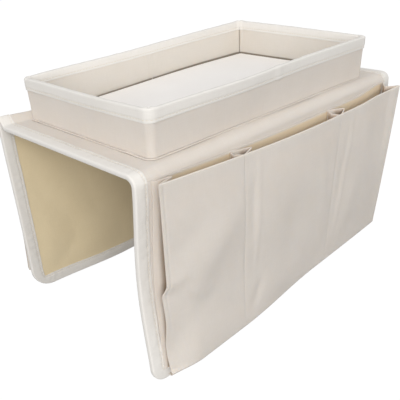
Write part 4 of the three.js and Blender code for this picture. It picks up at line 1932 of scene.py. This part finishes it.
    def corner_roll(self, points: np.ndarray) -> np.ndarray:
        """How far the lining rolls inwards beside each inner corner, for places on the inner wall."""
        return self.roll * hump(self.from_corner(points) - self.ROLL_IN, self.ROLL_WIDE)

    def painted_gap_shade(self, points: np.ndarray) -> np.ndarray:
        """Painted shade on the lining, in the gap round the floor and in the inner corners.

        Args:
            points: places on the straight lining.

        Returns:
            Shares of painted shade, from 0 to 1.
        """
        corner = hump(self.from_corner(points), self.CORNER_WIDE)
        floor_top = self.floor_high.z + self.floor_rise(points[..., 0])
        gap = smooth(floor_top - points[..., 2], *self.GAP_EDGE)
        return np.maximum(self.CORNER_SHADE * corner, self.GAP_SHADE * gap)

    def wall(self) -> bpy.types.Object:
        """The outer wall cover.

        Returns:
            The piece.
        """
        rows = self.WALL_ROWS
        z = np.linspace(self.wall_top, self.foot, rows)
        points = self.ring(np.zeros(rows), z, np.full(rows, self.corner))
        rise = self.RELIEF * lumps(points[..., 0], points[..., 1] + points[..., 2], self.RELIEF_WAVE, 21)
        tuck = -self.FOOT_TUCK * smooth(self.foot + self.FOOT_TALL - points[..., 2], 0.0, self.FOOT_TALL)
        return cloth("tray_wall_cover", self.pushed(points, rise + tuck), self.fabric, closed=True)

    def inner_wall(self) -> bpy.types.Object:
        """The wall lining, with a sewn join at the middle of each long wall.

        Returns:
            The piece.
        """
        above_floor = self.floor_high.z + self.WALL_FINE
        z = joined(steps(self.foot, above_floor, FINEST), steps(above_floor, self.wall_top, 2 * FINE))
        points = self.ring(np.full(len(z), -self.lining_in), z, np.full(len(z), self.crease))
        wave = lumps(points[..., 0], points[..., 1] + points[..., 2], self.LINING_WAVE, 23)
        along = points[..., 0] - self.join_x
        long_wall = np.abs(points[..., 1]) > self.half_y - self.LONG_WALL
        lap = smooth(self.JOIN_HALF - np.abs(along), 0.0, self.LAP_SOFT)
        groove = hump(np.abs(along) - self.GROOVE_OUT, self.LAP_SOFT)
        join = (self.JOIN_RISE * lap - self.JOIN_GROOVE * groove) * long_wall
        rise = self.LINING_RELIEF * wave + join + self.corner_roll(points)
        # Painted shade darkens the lining in its inner corners and round the floor.
        return cloth("tray_wall_lining", self.pushed(points, rise), self.fabric, closed=True,
                     depth=self.painted_gap_shade(points))

    def rim_section(self) -> tuple[np.ndarray, np.ndarray]:
        """Section of the rim tape, from its inner leg over the rim to its outer leg.

        Returns:
            Distances outwards from the cover's face, and heights.
        """
        outer, inner = self.proud - self.press, -self.lining_in - self.proud + self.press
        depth, across = square_nose(self.nose, (outer - inner) / 2)
        inner_leg, inner_crown = self.rim_leg(self.inner_foot)
        outer_leg, outer_crown = self.rim_leg(self.rim_foot)
        offset = [inner - inner_crown, (outer + inner) / 2 + across, (outer + outer_crown)[::-1]]
        return np.concatenate(offset), np.concatenate([inner_leg, self.rim_top - depth, outer_leg[::-1]])

    def rim_leg(self, foot: float) -> tuple[np.ndarray, np.ndarray]:
        """One leg of the rim tape, drawn in where it is sewn.

        Args:
            foot: height of its edge.

        Returns:
            Heights up the leg, and how far it stands off the straight leg.
        """
        sewn = foot + SEAM_IN
        past_seam = sewn + SEAM_BESIDE
        leg = joined(steps(foot, past_seam, FINEST), steps(past_seam, self.rim_top - self.nose, FINE))
        crown = TAPE_CROWN * np.sin(np.pi * np.linspace(0.0, 1.0, len(leg)))
        crown = crown - TAPE_CROWN * smooth(foot + TAPE_EDGE - leg, 0.0, TAPE_EDGE)
        return leg, crown - seam_dip(leg, sewn)

    def rim(self) -> bpy.types.Object:
        """The white tape folded over the rim, with its lapped end at the middle of the front.

        Returns:
            The piece.
        """
        offset, z = self.rim_section()
        outer, inner = self.proud, -self.lining_in - self.proud
        share = np.clip((offset - inner) / (outer - inner), 0.0, 1.0)
        tight = max(self.crease - self.proud, self.TIGHTEST)
        corner = tight + share * (self.corner + self.proud - tight)
        points = self.ring(offset, z, corner)
        pucker = lumps(points[..., 0] + points[..., 1], z[:, None] * 0.4, self.PUCKER_WAVE, 29)
        front = points[..., 1] < 0
        along = points[..., 0] - self.join_x
        lap = smooth(self.lap - np.abs(along), 0.0, self.LAP_SOFT) * front
        lap_edge = hump(np.abs(along) - self.lap - self.LAP_OUT, self.LAP_WIDE) * front
        rise = self.PUCKER * pucker + self.LAP_RISE * lap - self.LAP_GROOVE * lap_edge
        rise = rise + self.corner_roll(points) * (1 - share)[:, None]
        return cloth("tray_rim_binding", self.pushed(points, rise), self.fabric, closed=True)

    def base(self) -> bpy.types.Object:
        """The tray's own bottom sheet, whose sewn edge shows as a thin lip.

        Returns:
            The piece.
        """
        half_x, half_y = (self.base_high.x - self.base_low.x) / 2, self.base_high.y
        radius = self.corner + half_y - self.half_y
        rows = []
        insets = joined(steps(0.0, self.BASE_FINE, FINE), steps(self.BASE_FINE, self.base_ring, COARSE))
        for inset in insets[::-1]:
            corner = max(radius - inset, self.TIGHTEST)
            loop = rounded_loop(half_x - inset, half_y - inset, corner, self.centre)
            by_edge = smooth(self.WAVY_REACH - inset, 0.0, self.WAVY_REACH)
            wavy = self.WAVY * lumps(loop[:, 0], loop[:, 1], self.WAVY_LONG, 33) * by_edge
            wavy[-1] = wavy[0]
            rows.append(np.concatenate([loop, (self.base_high.z + np.abs(wavy))[:, None]], 1))
        points = self.settled(np.stack(rows))
        return cloth("tray_base_cloth", points, self.base_high.z - self.base_low.z, closed=True, level=True)

    def floor_box(self, low: Vector, high: Vector) -> tuple[Vector, Vector]:
        """A box of the floor panel, drawn in at the far and the rear side, where a gap shows."""
        return low + self.floor_inset, high - self.floor_gap

    def lifted(self, points: np.ndarray) -> np.ndarray:
        """Points of the level loose floor, moved up where its far part stands higher."""
        x = points[..., 0]
        return self.saddle.raised(points + np.stack([0 * x, 0 * x, self.floor_rise(x)], -1))

    def floor_rise(self, x: np.ndarray) -> np.ndarray:
        """How much higher the loose floor stands, from its near to its far end."""
        return self.floor_lift * smooth(x, *self.FLOOR_RUN)

    def floor(self) -> bpy.types.Object:
        """The floor panel's cloth, drawn over its board and turned under.

        Returns:
            The piece.
        """
        low, high = self.floor_box(self.floor_low, self.floor_high)
        half_x, half_y, middle = (high.x - low.x) / 2, (high.y - low.y) / 2, (low + high) / 2
        thick = self.floor_high.z - self.floor_low.z
        radius, corner = thick / 2, self.FLOOR_CORNER
        under = np.linspace(self.TURN_IN, radius, 6)
        angle = np.linspace(-QUARTER, QUARTER, 9)[1:-1]
        over = joined(steps(radius, self.FLOOR_FINE, self.FLOOR_STEP),
                      steps(self.FLOOR_FINE, half_y - self.FLOOR_STEP, COARSE))
        inset = np.concatenate([under, radius * (1 - np.cos(angle)), over])
        z = np.concatenate([0 * under, radius + radius * np.sin(angle), thick + 0 * over]) + self.floor_low.z
        rows = []
        for depth, height in zip(inset[::-1], z[::-1]):
            loop = rounded_loop(half_x - depth, half_y - depth, max(corner - depth, self.TIGHTEST), middle.x)
            loop = loop + np.array((0.0, middle.y))
            rows.append(np.concatenate([loop, np.full((len(loop), 1), height)], 1))
        return cloth("tray_floor_panel", self.lifted(np.stack(rows)), self.fabric, closed=True, level=True)

    def stitch_lines(self) -> list[np.ndarray]:
        """Where the rim tape and the long walls' joins are sewn.

        Returns:
            The points of each line.
        """
        tight = max(self.crease - self.proud, self.TIGHTEST)
        lines = []
        rise = self.proud - STITCH_SINK
        legs = ((rise, self.rim_foot, self.corner + self.proud),
                (-self.lining_in - rise, self.inner_foot, tight))
        for offset, foot, corner in legs:
            points = self.ring(np.array([offset]), np.array([foot + SEAM_IN]), np.array([corner]))[0]
            lines.append(self.settled(points))
        for way in (-1.0, 1.0):
            y = way * (self.half_y - self.lining_in - self.JOIN_THREAD)
            height = steps(self.floor_high.z + FINE, self.rim_foot - FINE, self.JOIN_STEP)
            line = np.stack([np.full_like(height, self.join_x), np.full_like(height, y), height], 1)
            lines.append(self.settled(line))
        return lines

    def build(self, finishes: Finishes) -> None:
        """Makes and dresses the tray.

        Args:
            finishes: the materials.
        """
        wall = finish_piece(self.wall(), finishes.cover, Slot.COVER, "tray_outer_cover")
        # The lining's cream is painted lighter, as painted light, and painted shade darkens its corners and
        # the gap round the floor.
        lining = finish_piece(self.inner_wall(), finishes.tray, Slot.COVER, "tray_lining")
        rim = finish_piece(self.rim(), finishes.binding, Slot.BINDING, "tray_rim_tape")
        offset, z = self.rim_section()
        base = finish_piece(self.base(), finishes.cover, Slot.COVER, "tray_base_sheet")
        stitches = StitchRow().sew("tray_stitches", self.stitch_lines(), finishes.thread)
        finish_piece(stitches, finishes.thread, Slot.BINDING)
        for piece in (wall, lining, rim, base, stitches):
            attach(piece, "saddle")
        floor = finish_piece(self.floor(), finishes.floor, Slot.FLOOR, "tray_floor_cover")
        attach(floor, "tray_floor")
        self.boards(finishes)

    def boards(self, finishes: Finishes) -> None:
        """Makes the stiffeners in the walls and the floor, settled with them.

        Args:
            finishes: the materials.
        """
        for name in ("left", "right", "front_left", "front_right", "rear_left", "rear_right"):
            outwards = name.startswith("rear") or name == "right"
            points, thickness = board_face(*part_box(f"tray_board_{name}"), outwards)
            board = cloth(f"tray_stiffener_{name}", self.settled(points), thickness)
            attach(finish_piece(board, finishes.board, Slot.BOARD, f"tray_board_{name}"), "saddle")
        points, thickness = board_face(*self.floor_box(*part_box("tray_floor_board")))
        board = cloth("tray_floor_stiffener", self.lifted(points), thickness)
        finish_piece(board, finishes.board, Slot.BOARD, "tray_floor_board")
        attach(board, "tray_floor")


# Studio


@dataclass(frozen=True)
class Studio:
    """The floor, the light and the camera, in metres."""

    eye: tuple[float, float, float] = (-0.4001, -0.3898, 0.3481)
    aim: tuple[float, float, float] = (-0.0257, -0.0028, 0.0833)
    roll: float = math.radians(-3.4)
    lens: float = 51.5
    sensor: float = 36.0
    floor_half: float = 30.0
    ambient: float = 0.66
    surround: tuple[float, float, float, float] = (0.99, 0.995, 1.0, 1.0)
    key_place: tuple[float, float, float] = (-1.29, -1.37, 0.95)
    key_power: float = 32.0
    key_width: float = 1.4

    def camera(self) -> None:
        """Sets the camera at the photographed angle."""
        data = bpy.data.cameras.new("Camera")
        data.lens = self.lens
        data.sensor_width = self.sensor
        made = in_scene("Camera", data)
        ahead = Vector(self.aim) - Vector(self.eye)
        made.rotation_mode = "QUATERNION"
        made.rotation_quaternion = ahead.to_track_quat("-Z", "Y") @ Quaternion((0.0, 0.0, 1.0), self.roll)
        made.location = self.eye
        bpy.context.scene.camera = made

    def floor(self) -> None:
        """Lays the pale floor."""
        half = self.floor_half
        corners = np.array([(-half, -half, 0.0), (half, -half, 0.0), (half, half, 0.0), (-half, half, 0.0)])
        made = mesh_object("studio_floor", corners, [[0, 1, 2, 3]], corners[:, :2])
        pale = FloorFinish(name="Studio floor", colour=(0.25, 0.25, 0.25), whitening=0.85, brightness=1.17)
        made.data.materials.append(pale.material())

    def light(self) -> None:
        """Sets an even surround and one broad lamp from the upper left."""
        data = bpy.data.lights.new("Key", "AREA")
        data.energy = self.key_power
        data.size = self.key_width
        lamp = in_scene("Key", data)
        lamp.location = self.key_place
        lamp.rotation_mode = "QUATERNION"
        lamp.rotation_quaternion = (Vector(self.aim) - Vector(self.key_place)).to_track_quat("-Z", "Y")
        world = bpy.data.worlds.new("Studio")
        world.use_nodes = True
        tree = world.node_tree
        tree.nodes.clear()
        seen = add_node(tree, "ShaderNodeLightPath").outputs["Is Camera Ray"]
        soft = {"Color": self.surround, "Strength": self.ambient}
        even = add_node(tree, "ShaderNodeBackground", None, soft).outputs[0]
        white = add_node(tree, "ShaderNodeBackground", None, {"Color": (1.0, 1.0, 1.0, 1.0)}).outputs[0]
        choice = add_node(tree, "ShaderNodeMixShader", None, {0: seen, 1: even, 2: white}).outputs[0]
        add_node(tree, "ShaderNodeOutputWorld", None, {"Surface": choice})
        bpy.context.scene.world = world
        bpy.context.scene.view_settings.view_transform = "Standard"

    def build(self) -> None:
        """Makes the whole studio."""
        self.camera()
        self.floor()
        self.light()


def main() -> None:
    """Builds the studio and the object, piece by piece."""
    logging.basicConfig(level=logging.INFO, format="%(message)s")
    Studio().build()
    finishes = Finishes.make()
    saddle = Saddle.from_frame()
    saddle.build(finishes)
    for side in Side:
        PocketBank.from_frame(side, saddle).build(finishes)
    Tray.from_frame(saddle).build(finishes)


if __name__ == "__main__":
    main()
